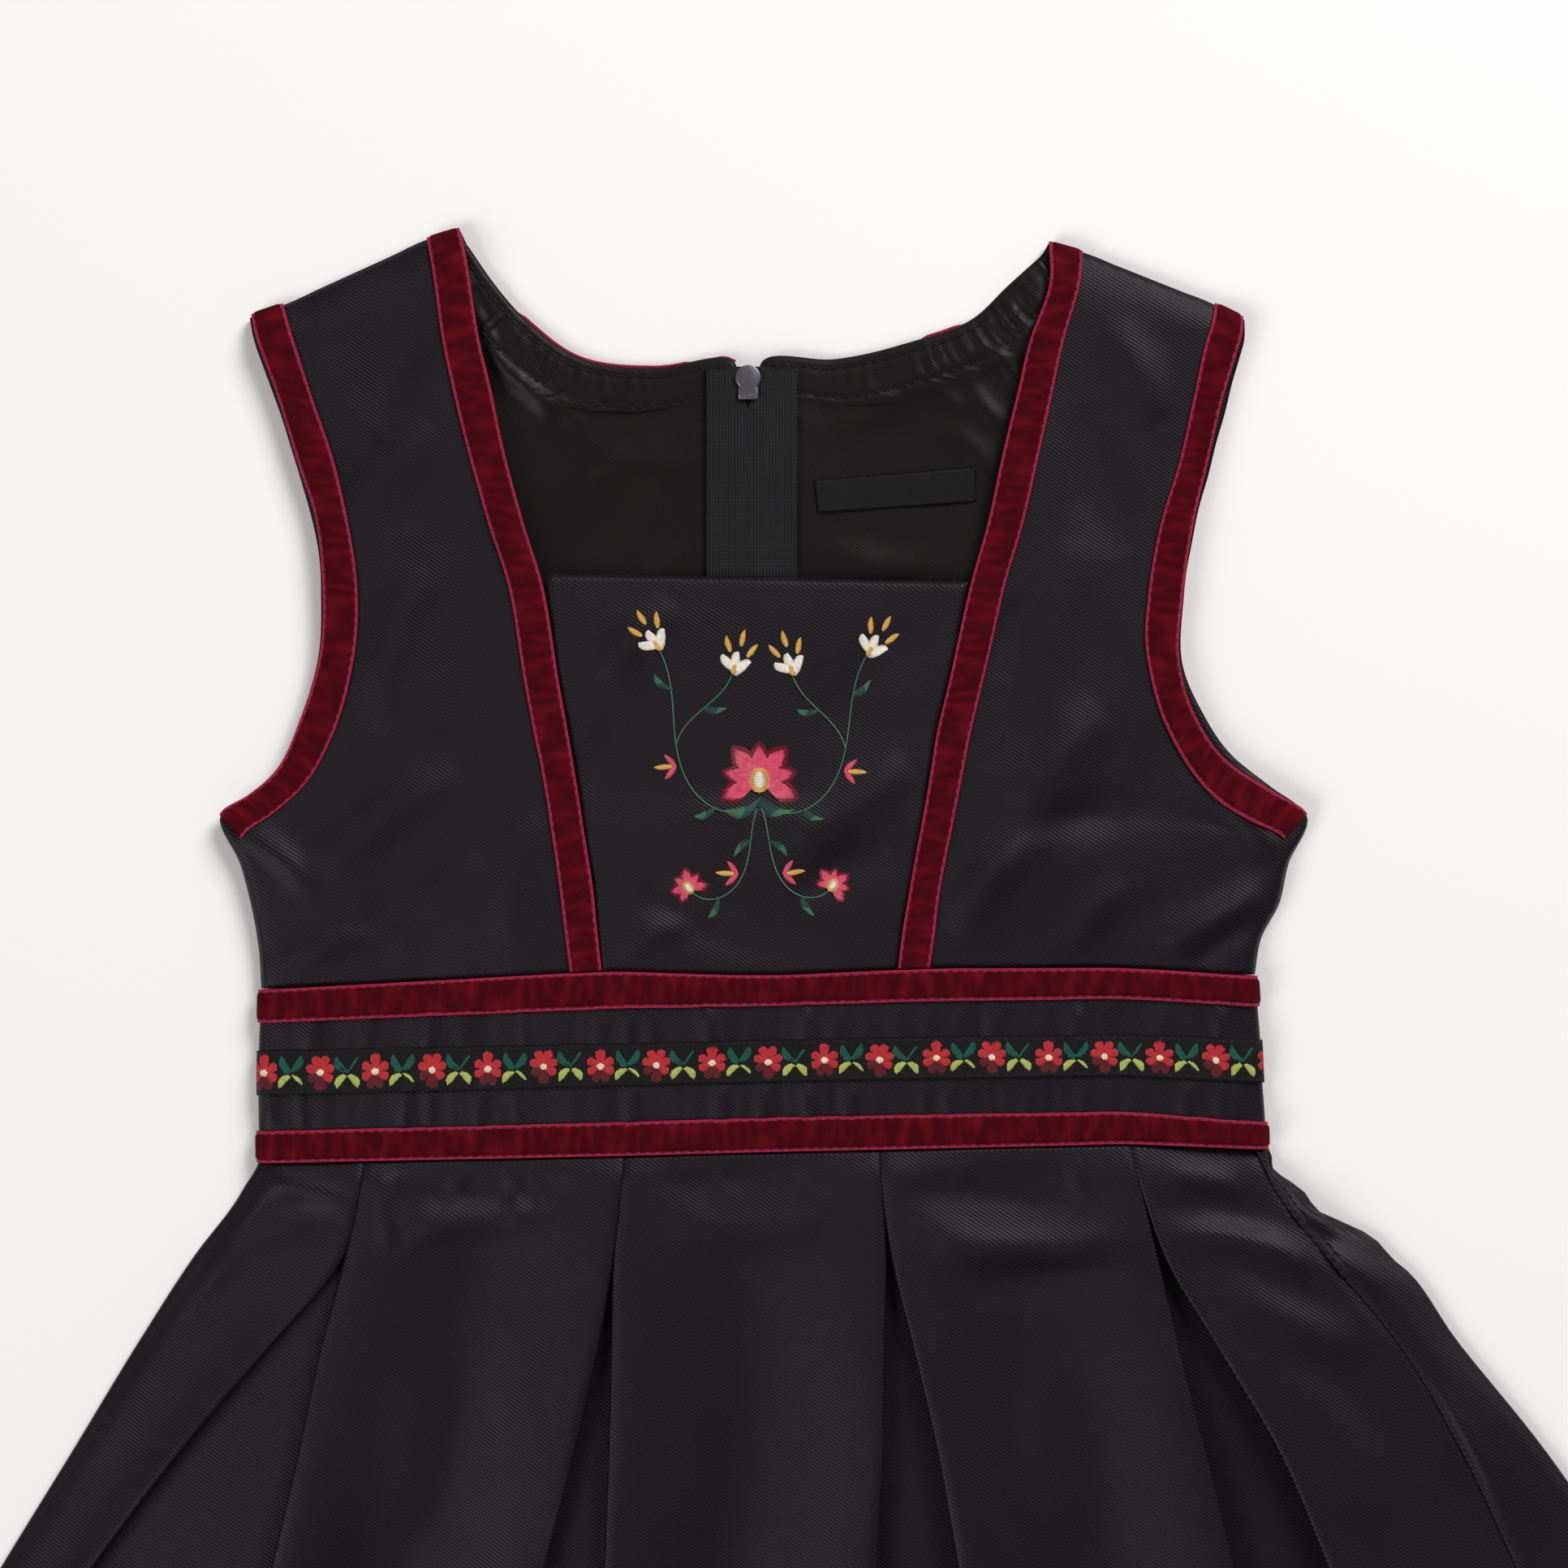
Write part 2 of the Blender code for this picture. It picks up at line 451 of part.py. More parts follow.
def build_skirt(collection):
    """Skirt: the front, which turns under at the left, and two backs, the right one
    turning over to a seam on the front."""
    front, back_left, back_right = [], [], []
    for number, row in enumerate(SKIRT):
        deep = row.depth
        line = [(row.left + LEFT_WRAP, FLOOR_Z), (row.left, FLOOR_Z), (row.left, FOLD_Z)]
        line += [(row.left + 4, 3.2), (row.a1 - deep, TOP_Z)]
        line += pleat(row.a1, row.b1, deep, TOP_Z, -LAYER)
        line += section(row.b1, row.a2, deep, deep, TOP_Z, SAG_Z)
        line += pleat(row.a2, row.b2, deep, TOP_Z, -LAYER)
        line += section(row.b2, row.a3, deep, deep, TOP_Z, SAG_Z)
        line += pleat(row.a3, row.b3, deep, TOP_Z, -LAYER)
        line += section(row.b3, row.a4, deep, deep, TOP_Z, SAG_Z)
        line += pleat(row.a4, row.b4, deep, TOP_Z, -LAYER)
        line += [(row.b4 + deep, TOP_Z), (row.seam - GAP / 2, row.seam_z)]
        front.append(skirt_line(row, line))

        shift = BACK_SHIFT
        deep = row.depth - BACK_SHALLOWER
        slit = SLIT if number < ZIP_ROWS else GAP / 2
        line = [(row.left + LEFT_WRAP + GAP, FLOOR_Z)]
        line += pleat(row.a1 + shift[0], row.b1 + shift[0], deep, FLOOR_Z, LAYER)
        line += pleat(row.a2 + shift[1], row.b2 + shift[1], deep, FLOOR_Z, LAYER)
        line += [(ZIP_X - slit, FLOOR_Z)]
        back_left.append(skirt_line(row, line))
        line = [(ZIP_X + slit, FLOOR_Z)]
        line += pleat(row.a3 + shift[2], row.b3 + shift[2], deep, FLOOR_Z, LAYER)
        line += pleat(row.a4 + shift[3], row.b4 + shift[3], deep, FLOOR_Z, LAYER)
        line += [(row.right, FLOOR_Z), (row.right, FOLD_Z)]
        wide = row.right - row.seam
        line += [(row.right - 0.35 * wide, FOLD_Z + 0.5 * (row.seam_z - FOLD_Z))]
        line += [(row.seam + GAP / 2, row.seam_z)]
        back_right.append(skirt_line(row, line))
    loft("skirt_front", front, "twill", collection)
    loft("skirt_back_left", back_left, "twill", collection)
    loft("skirt_back_right", back_right, "twill", collection)


def build_label(lining, collection):
    """Woven label on the lining, as high as the lining is under each of its points."""
    points = [Vector(point) for row in lining for point in row]
    wide = len(lining[0])
    faces = []
    for j in range(len(lining) - 1):
        for i in range(wide - 1):
            at = j * wide + i
            faces.append((at, at + 1, at + wide + 1, at + wide))
    under = BVHTree.FromPolygons(points, faces)
    low_left, low_right, high_right, high_left = LABEL_CORNERS
    rows = []
    for share in (0.0, 0.5, 1.0):
        start = mix(low_left, high_left, share)
        end = mix(low_right, high_right, share)
        row = []
        for k in range(6):
            x, y = mix(start, end, k / 5)
            hit = under.ray_cast(Vector((x, y, 50.0)), Vector((0, 0, -1)))[0]
            row.append((x, y, hit.z + LAYER + 0.1))
        rows.append(row)
    loft("neck_label", rows, "satin", collection, 0.45)


def build_zip(collection):
    """Zip tapes on the inside of the back and the closed chain between the cloth edges."""
    left = []
    right = []
    for row in TAPE:
        inner_left = ZIP_X - row.inner
        inner_right = ZIP_X + row.inner
        left.append([(TAPE_LEFT, row.y, row.z), (inner_left, row.y, row.z)])
        right.append([(inner_right, row.y, row.z), (TAPE_RIGHT, row.y, row.z)])
    loft("zip_tape_left", left, "tape", collection)
    loft("zip_tape_right", right, "tape", collection)

    mesh = bpy.data.meshes.new("zip_chain")
    bm = bmesh.new()
    rings = []
    for row in COIL:
        corners = ((-COIL_HALF, row.low), (COIL_HALF, row.low), (COIL_HALF, row.high), (-COIL_HALF, row.high))
        rings.append([bm.verts.new(to_scene((ZIP_X + x, row.y, z))) for x, z in corners])
    for ring, following in zip(rings, rings[1:]):
        for i in range(4):
            bm.faces.new((ring[i], ring[i - 1], following[i - 1], following[i]))
    bm.faces.new(rings[0])
    bm.faces.new(rings[-1][::-1])
    bmesh.ops.recalc_face_normals(bm, faces=bm.faces)
    bm.to_mesh(mesh)
    bm.free()
    link("zip_chain", mesh, make_material("zip_chain", "tape", 0.4), collection)


def box(name, low, high, collection, material):
    """Box between two corners given in table millimetres."""
    mesh = bpy.data.meshes.new(name)
    bm = bmesh.new()
    size = Vector(high) - Vector(low)
    bmesh.ops.create_cube(bm, size=1.0, matrix=Matrix.Diagonal((*(size * MM), 1.0)))
    bm.to_mesh(mesh)
    bm.free()
    obj = link(name, mesh, material, collection)
    obj.location = to_scene((Vector(low) + Vector(high)) / 2)
    return obj


def disc(name, centre, radius, low, high, collection, material):
    """Upright cylinder between two heights."""
    mesh = bpy.data.meshes.new(name)
    bm = bmesh.new()
    bmesh.ops.create_cone(
        bm, cap_ends=True, segments=24, radius1=radius * MM, radius2=radius * MM, depth=(high - low) * MM
    )
    bm.to_mesh(mesh)
    bm.free()
    obj = link(name, mesh, material, collection)
    obj.location = to_scene((*centre, (low + high) / 2))
    return obj


def combine(target, other, operation):
    """Exact Boolean of a hidden helper on the target."""
    step = target.modifiers.new(f"{operation.lower()}_{other.name}", "BOOLEAN")
    step.operation = operation
    step.solver = "EXACT"
    step.object = other


def build_slider(collection, helpers):
    """Zip slider at the top of the closed zip: two plates, the wedge between them and
    a bridge on the outside that holds the pull tab's bar."""
    metal = make_material("zip_slider", "metal", 0.35, 0.9)
    head = (ZIP_X, 219.8)
    slider = disc("zip_slider", head, 3.5, 5.7, 6.4, collection, metal)
    parts = [
        box("slider_inner_foot", (ZIP_X - 2.7, 213.7, 5.7), (ZIP_X + 2.7, 219.0, 6.4), helpers, metal),
        disc("slider_outer_head", head, 3.5, 1.95, 2.6, helpers, metal),
        box("slider_outer_foot", (ZIP_X - 2.7, 213.7, 1.95), (ZIP_X + 2.7, 219.0, 2.6), helpers, metal),
        box("slider_wedge", (ZIP_X - 0.8, 219.6, 2.3), (ZIP_X + 0.8, 222.6, 6.1), helpers, metal),
        box("slider_bridge", (ZIP_X - 0.7, 216.6, 0.05), (ZIP_X + 0.7, 221.4, 2.2), helpers, metal),
    ]
    for part in parts:
        combine(slider, part, "UNION")
    room = box("bridge_room", (ZIP_X - 2.0, 217.2, 0.55), (ZIP_X + 2.0, 220.8, 1.95), helpers, metal)
    combine(slider, room, "DIFFERENCE")

    tab = bpy.data.meshes.new("zip_pull_tab")
    bm = bmesh.new()
    outline = ((-2.0, 0.35), (2.0, 0.35), (2.5, -3.5), (2.5, -16.4), (1.5, -17.6), (-1.5, -17.6), (-2.5, -16.4), (-2.5, -3.5))
    low = [bm.verts.new((x * MM, y * MM, -0.35 * MM)) for x, y in outline]
    bm.faces.new(low)
    grown = bmesh.ops.extrude_face_region(bm, geom=bm.faces[:])
    top = [item for item in grown["geom"] if isinstance(item, bmesh.types.BMVert)]
    bmesh.ops.translate(bm, verts=top, vec=(0, 0, 0.7 * MM))
    bmesh.ops.recalc_face_normals(bm, faces=bm.faces)
    bm.to_mesh(tab)
    bm.free()
    pull = link("zip_pull_tab", tab, make_material("zip_pull_tab", "metal", 0.35, 0.9), collection)
    pull.location = to_scene((ZIP_X, PULL_Y, PULL_Z))
    window = box(
        "tab_window", (ZIP_X - 1.1, PULL_Y - 3.1, PULL_Z - 1), (ZIP_X + 1.1, PULL_Y - 0.35, PULL_Z + 1), helpers, metal
    )
    combine(pull, window, "DIFFERENCE")


def main():
    """Build the dress."""
    clear_scene()
    dress = make_collection("folk_dress")
    helpers = make_collection("helpers", hidden=True)
    build_front(dress)
    linings = build_back(dress)
    build_band(dress)
    build_skirt(dress)
    build_label(linings["right"], dress)
    build_zip(dress)
    build_slider(dress, helpers)


main()
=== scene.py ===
"""Child's folk dress laid on its back: its cloth, ribbons, embroidery, lining and zip.

Sizes are in millimetres in the dress's own lay-out: X across, Y from the waist
seam up to the neck, Z up from the table. placed() puts them into the shared frame.
"""

from __future__ import annotations

import json
import logging
import math
from dataclasses import dataclass, field
from enum import Enum
from typing import Callable, NamedTuple

import bpy
import numpy as np
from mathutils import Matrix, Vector
from mathutils.bvhtree import BVHTree

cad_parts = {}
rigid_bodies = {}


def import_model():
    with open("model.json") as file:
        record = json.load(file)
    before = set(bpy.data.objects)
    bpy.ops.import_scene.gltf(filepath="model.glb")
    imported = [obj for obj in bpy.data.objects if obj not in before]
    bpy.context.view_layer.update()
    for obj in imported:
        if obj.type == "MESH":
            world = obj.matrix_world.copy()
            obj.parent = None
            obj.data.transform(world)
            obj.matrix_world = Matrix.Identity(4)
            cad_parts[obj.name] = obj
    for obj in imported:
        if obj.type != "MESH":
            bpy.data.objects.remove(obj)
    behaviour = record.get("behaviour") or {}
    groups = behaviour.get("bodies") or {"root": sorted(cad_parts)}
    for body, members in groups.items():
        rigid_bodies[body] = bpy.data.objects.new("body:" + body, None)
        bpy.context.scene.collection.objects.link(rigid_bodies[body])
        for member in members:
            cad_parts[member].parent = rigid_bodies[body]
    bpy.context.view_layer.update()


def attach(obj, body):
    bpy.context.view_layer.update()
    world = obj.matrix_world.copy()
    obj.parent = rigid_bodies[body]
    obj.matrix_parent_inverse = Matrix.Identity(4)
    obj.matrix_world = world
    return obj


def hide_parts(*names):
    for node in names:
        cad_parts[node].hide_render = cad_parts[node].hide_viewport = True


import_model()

LOG = logging.getLogger("folk_dress")
DRESS = "dress"
PULL = "zip_pull"
MM = 0.001
SHIFT = np.array((-12.9, 78.9, 0.0))
SEED = 104
TWILL_ANGLE = 57.0
TWILL_PITCH = 0.92

Array = np.ndarray
Flat = tuple[float, float]
Point = tuple[float, float, float]
Colour = tuple[float, float, float, float]
Faces = list[tuple[int, ...]]
Shape = tuple[list[Point], Faces]
Socket = bpy.types.NodeSocket
Material = bpy.types.Material
Thing = bpy.types.Object


class Hand(Enum):
    """Side of the dress as it lies, seen from above."""

    LEFT = "left"
    RIGHT = "right"


def linear(red: int, green: int, blue: int) -> Colour:
    """A screen colour as the shader wants it.

    Args:
        red: Red, 0 to 255.
        green: Green, 0 to 255.
        blue: Blue, 0 to 255.

    Returns:
        Linear red, green, blue and an alpha of one.
    """
    parts = []
    for value in (red, green, blue):
        share = value / 255
        parts.append(share / 12.92 if share <= 0.04045 else ((share + 0.055) / 1.055) ** 2.4)
    return (*parts, 1.0)


# surfaces


def smooth(knots: Array, values: Array, places: Array) -> Array:
    """Cubic through values at knots.

    Args:
        knots: Rising places of the values.
        values: One value or block for each knot.
        places: Where the curve is read.

    Returns:
        The curve at the places.
    """
    slopes = np.gradient(values, knots, axis=0)
    i = np.clip(np.searchsorted(knots, places, side="right") - 1, 0, len(knots) - 2)
    step = knots[i + 1] - knots[i]
    t = (places - knots[i]) / step
    shape = (-1,) + (1,) * (values.ndim - 1)
    t, step = t.reshape(shape), step.reshape(shape)
    a = 2 * t**3 - 3 * t**2 + 1
    b = (t**3 - 2 * t**2 + t) * step
    c = -2 * t**3 + 3 * t**2
    d = (t**3 - t**2) * step
    return a * values[i] + b * slopes[i] + c * values[i + 1] + d * slopes[i + 1]


def divided(lengths: Array, step: float) -> tuple[Array, Array, list[int]]:
    """Places along a run of intervals, each cut into equal steps.

    Args:
        lengths: Length of each interval.
        step: Longest step wanted.

    Returns:
        The knots, the places, and where each knot is among the places.
    """
    knots = np.concatenate([[0.0], np.cumsum(np.maximum(lengths, 1e-3))])
    places, marks = [0.0], [0]
    for low, high in zip(knots, knots[1:]):
        count = max(1, math.ceil((high - low) / step))
        places.extend(low + (high - low) * k / count for k in range(1, count + 1))
        marks.append(len(places) - 1)
    return knots, np.array(places), marks


@dataclass
class Surface:
    """A fine grid of points on the middle of a cloth."""

    points: Array
    rows: list[int]
    columns: list[int]

    @classmethod
    def through(cls, table: Array, step: float, row_step: float = 0.0) -> "Surface":
        """Smooth surface through a coarse grid.

        Args:
            table: Rows by columns by three.
            step: Longest step across.
            row_step: Longest step from row to row, or the same.

        Returns:
            The fine surface.
        """
        down = np.linalg.norm(np.diff(table, axis=0), axis=2).mean(axis=1)
        knots, places, rows = divided(down, row_step or step)
        fine = smooth(knots, table, places)
        across = np.linalg.norm(np.diff(table, axis=1), axis=2).mean(axis=0)
        knots, places, columns = divided(across, step)
        fine = np.swapaxes(smooth(knots, np.swapaxes(fine, 0, 1), places), 0, 1)
        return cls(fine, rows, columns)

    def normals(self) -> Array:
        """Upward unit normals of the grid.

        Returns:
            A normal for each point.
        """
        across = np.gradient(self.points, axis=1)
        along = np.gradient(self.points, axis=0)
        normal = np.cross(across, along)
        normal /= np.maximum(np.linalg.norm(normal, axis=2, keepdims=True), 1e-9)
        return np.where(normal[..., 2:] < 0, -normal, normal)

    def moved(self, distance: float) -> "Surface":
        """The surface at a distance from itself; up if positive."""
        return Surface(self.points + self.normals() * distance, self.rows, self.columns)

    def block(self, rows: tuple[int, int], columns: tuple[int, int]) -> "Surface":
        """Part of the surface between rows and columns of the table.

        Args:
            rows: First and last row of the table.
            columns: First and last column of the table.

        Returns:
            The part as a surface of its own.
        """
        r0, r1 = self.rows[rows[0]], self.rows[rows[1]]
        c0, c1 = self.columns[columns[0]], self.columns[columns[1]]
        marks_r = [r - r0 for r in self.rows[rows[0] : rows[1] + 1]]
        marks_c = [c - c0 for c in self.columns[columns[0] : columns[1] + 1]]
        return Surface(self.points[r0 : r1 + 1, c0 : c1 + 1].copy(), marks_r, marks_c)

    def tree(self) -> BVHTree:
        """Search tree of the surface, in millimetres."""
        rows, columns = self.points.shape[:2]
        return BVHTree.FromPolygons(self.points.reshape(-1, 3).tolist(), quads(rows, columns))


def quads(rows: int, columns: int) -> list[tuple[int, int, int, int]]:
    """Faces of a grid of points, row by row.

    Args:
        rows: Points down the grid.
        columns: Points across it.

    Returns:
        Corners of each face.
    """
    at = np.arange(rows * columns).reshape(rows, columns)
    faces = np.stack([at[:-1, :-1], at[:-1, 1:], at[1:, 1:], at[1:, :-1]], axis=-1)
    return [tuple(face) for face in faces.reshape(-1, 4).tolist()]


def over(tree: BVHTree, x: float, y: float, lift: float) -> Point:
    """The point above or on a surface at x and y, or at the nearest place on it.

    Args:
        tree: Search tree of the surface.
        x: Place across.
        y: Place up.
        lift: How far above it.

    Returns:
        The point.
    """
    hit = tree.ray_cast(Vector((x, y, 60.0)), Vector((0.0, 0.0, -1.0)))[0]
    if hit is None:
        hit = tree.find_nearest(Vector((x, y, 6.0)))[0]
    return (x, y, hit.z + lift)


@dataclass(frozen=True)
class Crease:
    """A soft ridge, or a trough if its height is negative."""

    x0: float
    y0: float
    x1: float
    y1: float
    width: float
    height: float
    bow: float = 0.0

    def on(self, x: Array, y: Array) -> Array:
        """Its height at each place.

        Args:
            x: Places across.
            y: Places up.

        Returns:
            Its height at each place.
        """
        dx, dy = self.x1 - self.x0, self.y1 - self.y0
        length = math.hypot(dx, dy)
        ux, uy = dx / length, dy / length
        t = ((x - self.x0) * ux + (y - self.y0) * uy) / length
        side = (x - self.x0) * -uy + (y - self.y0) * ux
        side = side - self.bow * 4 * np.clip(t, 0, 1) * (1 - np.clip(t, 0, 1))
        past = np.maximum(np.maximum(-t, t - 1), 0) * length
        fade = np.clip(np.sin(np.pi * np.clip(t, 0.02, 0.98)), 0, 1) ** 0.6
        return self.height * fade * np.exp(-((side**2 + past**2) / self.width**2))


def waves(x: Array, y: Array, length: float, seed: int) -> Array:
    """Gentle unevenness between -1 and 1, the same for the same seed.

    Args:
        x: Places across.
        y: Places up.
        length: Usual distance from crest to crest.
        seed: Which pattern.

    Returns:
        The height at each place.
    """
    draw = np.random.default_rng(seed)
    total = np.zeros_like(x)
    for _ in range(7):
        angle = draw.uniform(0, 2 * math.pi)
        size = length * draw.uniform(0.6, 1.7)
        phase = draw.uniform(0, 2 * math.pi)
        total += np.sin((x * math.cos(angle) + y * math.sin(angle)) * 2 * math.pi / size + phase)
    return total / 4.5


def creased(surface: Surface, creases: tuple[Crease, ...], amount: float, length: float, seed: int, low: float = -0.35
) -> Surface:
    """The surface with its creases and a little unevenness, never much under its first form.

    Args:
        surface: The cloth.
        creases: Creases placed on it.
        amount: Height of the unevenness.
        length: Distance between its crests.
        seed: Which unevenness.
        low: How far it may sink.

    Returns:
        The creased cloth.
    """
    x, y = surface.points[..., 0], surface.points[..., 1]
    lift = amount * (waves(x, y, length, seed) + 0.22 * waves(x, y, 0.36 * length, seed + 1))
    for crease in creases:
        lift = lift + crease.on(x, y)
    made = surface.points.copy()
    made[..., 2] += np.logaddexp(0.0, 3.0 * (lift - low)) / 3.0 + low
    return Surface(made, surface.rows, surface.columns)


# meshes


def placed(points: Array) -> Array:
    """Lay-out millimetres in the shared frame's metres."""
    return (np.asarray(points, float).reshape(-1, 3) + SHIFT) * MM


def solid_mesh(name: str, points: Array, faces: Faces, finish: Material) -> Thing:
    """Smooth object from lay-out points.

    Args:
        name: Its name.
        points: Points in lay-out millimetres.
        faces: Corners of each face.
        finish: Its material.

    Returns:
        The object, in the scene.
    """
    mesh = bpy.data.meshes.new(name)
    mesh.from_pydata(placed(points).tolist(), [], faces)
    mesh.shade_smooth()
    mesh.materials.append(finish)
    obj = bpy.data.objects.new(name, mesh)
    bpy.context.scene.collection.objects.link(obj)
    return obj


def cloth_mesh(name: str, surface: Surface, finish: Material, thickness: float, coords: Array | None = None) -> Thing:
    """Thin cloth about a surface, with weave coordinates in millimetres.

    Args:
        name: Its name.
        surface: Its middle.
        finish: Its material.
        thickness: How thick it is.
        coords: Weave coordinates of each point, or none for the lay-out's own.

    Returns:
        The object, in the scene.
    """
    rows, columns = surface.points.shape[:2]
    faces = quads(rows, columns)
    row = surface.points[0]
    if row[-1, 0] < row[0, 0]:
        faces = [face[::-1] for face in faces]
    obj = solid_mesh(name, surface.points, faces, finish)
    weave = obj.data.attributes.new("weave_mm", "FLOAT_VECTOR", "POINT")
    values = surface.points if coords is None else coords
    weave.data.foreach_set("vector", np.asarray(values, np.float32).ravel())
    thick = obj.modifiers.new("thickness", "SOLIDIFY")
    thick.thickness = thickness * MM
    thick.offset = 0.0
    return obj


@dataclass
class Threads:
    """Short raised threads of one colour, gathered into one mesh."""

    points: list[Point] = field(default_factory=list)
    faces: Faces = field(default_factory=list)

    def lay(self, line: list[Point], width: float, high: float) -> None:
        """Add one thread along a line, round on top and tapered at its ends.

        Args:
            line: Points along its foot.
            width: How wide it is.
            high: How high it stands.
        """
        path = np.asarray(line, float)
        run = np.gradient(path, axis=0)
        side = np.stack([-run[:, 1], run[:, 0], np.zeros(len(run))], axis=1)
        side /= np.maximum(np.linalg.norm(side, axis=1, keepdims=True), 1e-9)
        count = len(path)
        taper = np.ones(count)
        taper[0] = taper[-1] = 0.35
        base = len(self.points)
        for across, up in ((-0.5, 0.0), (-0.3, 0.75), (0.3, 0.75), (0.5, 0.0)):
            ring = path + side * (across * width * taper)[:, None]
            ring[:, 2] += up * high * taper
            self.points.extend(map(tuple, ring.tolist()))
        for j in range(3):
            low, top = base + j * count, base + (j + 1) * count
            self.faces.extend((low + i, low + i + 1, top + i + 1, top + i) for i in range(count - 1))

    def made(self, name: str, finish: Material) -> Thing:
        """The threads as one object."""
        faces = [face[::-1] for face in self.faces]
        return solid_mesh(name, np.array(self.points), faces, finish)


# finishes


def node_group(name: str, inputs: dict[str, float], outputs: tuple[str, ...]) -> bpy.types.NodeTree:
    """An empty node group with float sockets.

    Args:
        name: Its name.
        inputs: Each input and its usual value.
        outputs: Its outputs.

    Returns:
        The group, with its two end nodes inside.
    """
    group = bpy.data.node_groups.new(name, "ShaderNodeTree")
    for label, value in inputs.items():
        socket = group.interface.new_socket(label, in_out="INPUT", socket_type="NodeSocketFloat")
        socket.default_value = value
    for label in outputs:
        group.interface.new_socket(label, in_out="OUTPUT", socket_type="NodeSocketFloat")
    group.nodes.new("NodeGroupInput").name = "in"
    group.nodes.new("NodeGroupOutput").name = "out"
    return group


@dataclass
class Wiring:
    """Short ways to add and join nodes in a tree."""

    tree: bpy.types.NodeTree

    def add(self, kind: str, **values: object) -> bpy.types.Node:
        """A new node with some of its settings.

        Args:
            kind: Which node.
            values: Its settings.

        Returns:
            The node.
        """
        node = self.tree.nodes.new(kind)
        for label, value in values.items():
            setattr(node, label, value)
        return node

    def join(self, start: Socket, end: Socket) -> None:
        """Link two sockets."""
        self.tree.links.new(start, end)

    def math(self, operation: str, *values: object) -> Socket:
        """A math node of sockets or numbers.

        Args:
            operation: What it does.
            values: Its inputs, each a socket or a number.

        Returns:
            Its output.
        """
        node = self.add("ShaderNodeMath", operation=operation)
        for i, value in enumerate(values):
            if isinstance(value, Socket):
                self.join(value, node.inputs[i])
            else:
                node.inputs[i].default_value = value
        return node.outputs[0]

    def weave(self) -> Socket:
        """The weave coordinates of the cloth, in millimetres."""
        return self.add("ShaderNodeAttribute", attribute_name="weave_mm").outputs["Vector"]

    def noise(self, vector: Socket, scale: float, detail: float = 3.0) -> Socket:
        """Noise of a given scale at a vector.

        Args:
            vector: Where it is read.
            scale: Its scale.
            detail: Its detail.

        Returns:
            A value from 0 to 1.
        """
        node = self.add("ShaderNodeTexNoise")
        node.inputs["Scale"].default_value = scale
        node.inputs["Detail"].default_value = detail
        self.join(vector, node.inputs["Vector"])
        return node.outputs["Fac"]

    def bands(self, vector: Socket, angle: float, period: float, distortion: float = 0.0) -> Socket:
        """Even stripes across a direction.

        Args:
            vector: Coordinates in millimetres.
            angle: Direction across the stripes, in degrees.
            period: Distance from stripe to stripe.
            distortion: How uneven they are.

        Returns:
            A value from 0 to 1.
        """
        turn = self.add("ShaderNodeVectorRotate", rotation_type="Z_AXIS")
        turn.inputs["Angle"].default_value = math.radians(-angle)
        self.join(vector, turn.inputs["Vector"])
        wave = self.add("ShaderNodeTexWave", wave_type="BANDS", bands_direction="X")
        wave.inputs["Scale"].default_value = math.pi / 10 / period
        wave.inputs["Distortion"].default_value = distortion
        wave.inputs["Detail"].default_value = 1.0
        wave.inputs["Detail Scale"].default_value = 2.0
        self.join(turn.outputs[0], wave.inputs["Vector"])
        return wave.outputs["Fac"]

    def mixed(self, share: Socket, first: tuple[float, ...], second: object) -> Socket:
        """A colour between two, by a share.

        Args:
            share: How much of the second.
            first: The first colour, or its socket.
            second: The second colour, or its socket.

        Returns:
            The colour.
        """
        node = self.add("ShaderNodeMix", data_type="RGBA")
        self.join(share, node.inputs[0])
        for socket, value in ((node.inputs[6], first), (node.inputs[7], second)):
            if isinstance(value, Socket):
                self.join(value, socket)
            else:
                socket.default_value = value
        return node.outputs[2]


def build_weave_group() -> bpy.types.NodeTree:
    """Diagonal twill lines crossed by fine threads, as a height and a mask of the lines.

    Returns:
        The group.
    """
    group = node_group("twill_weave", {"Line": 1.0, "Thread": 1.0}, ("Height", "Lines"))
    wiring = Wiring(group)
    start, end = group.nodes["in"], group.nodes["out"]
    cloth = wiring.weave()
    lines = wiring.bands(cloth, TWILL_ANGLE, TWILL_PITCH, 0.7)
    threads = wiring.bands(cloth, 0.0, 0.31)
    slubs = wiring.noise(cloth, 0.9, 4.0)
    high = wiring.math("MULTIPLY", lines, start.outputs["Line"])
    fine = wiring.math("MULTIPLY", threads, start.outputs["Thread"])
    both = wiring.math("ADD", high, fine)
    wiring.join(wiring.math("ADD", both, wiring.math("MULTIPLY", slubs, 0.35)), end.inputs["Height"])
    wiring.join(lines, end.inputs["Lines"])
    return group


def build_mottle_group() -> bpy.types.NodeTree:
    """Soft clouds of shade and a scatter of tiny specks of lint.

    Returns:
        The group.
    """
    group = node_group("cloth_mottle", {"Cloud": 0.03, "Speck": 1.3}, ("Cloud", "Lint"))
    wiring = Wiring(group)
    start, end = group.nodes["in"], group.nodes["out"]
    cloth = wiring.weave()
    clouds = wiring.add("ShaderNodeTexNoise")
    clouds.inputs["Detail"].default_value = 3.0
    wiring.join(cloth, clouds.inputs["Vector"])
    wiring.join(start.outputs["Cloud"], clouds.inputs["Scale"])
    wiring.join(clouds.outputs["Fac"], end.inputs["Cloud"])
    lint = wiring.add("ShaderNodeTexVoronoi")
    wiring.join(cloth, lint.inputs["Vector"])
    wiring.join(start.outputs["Speck"], lint.inputs["Scale"])
    wiring.join(wiring.math("LESS_THAN", lint.outputs["Distance"], 0.035), end.inputs["Lint"])
    return group


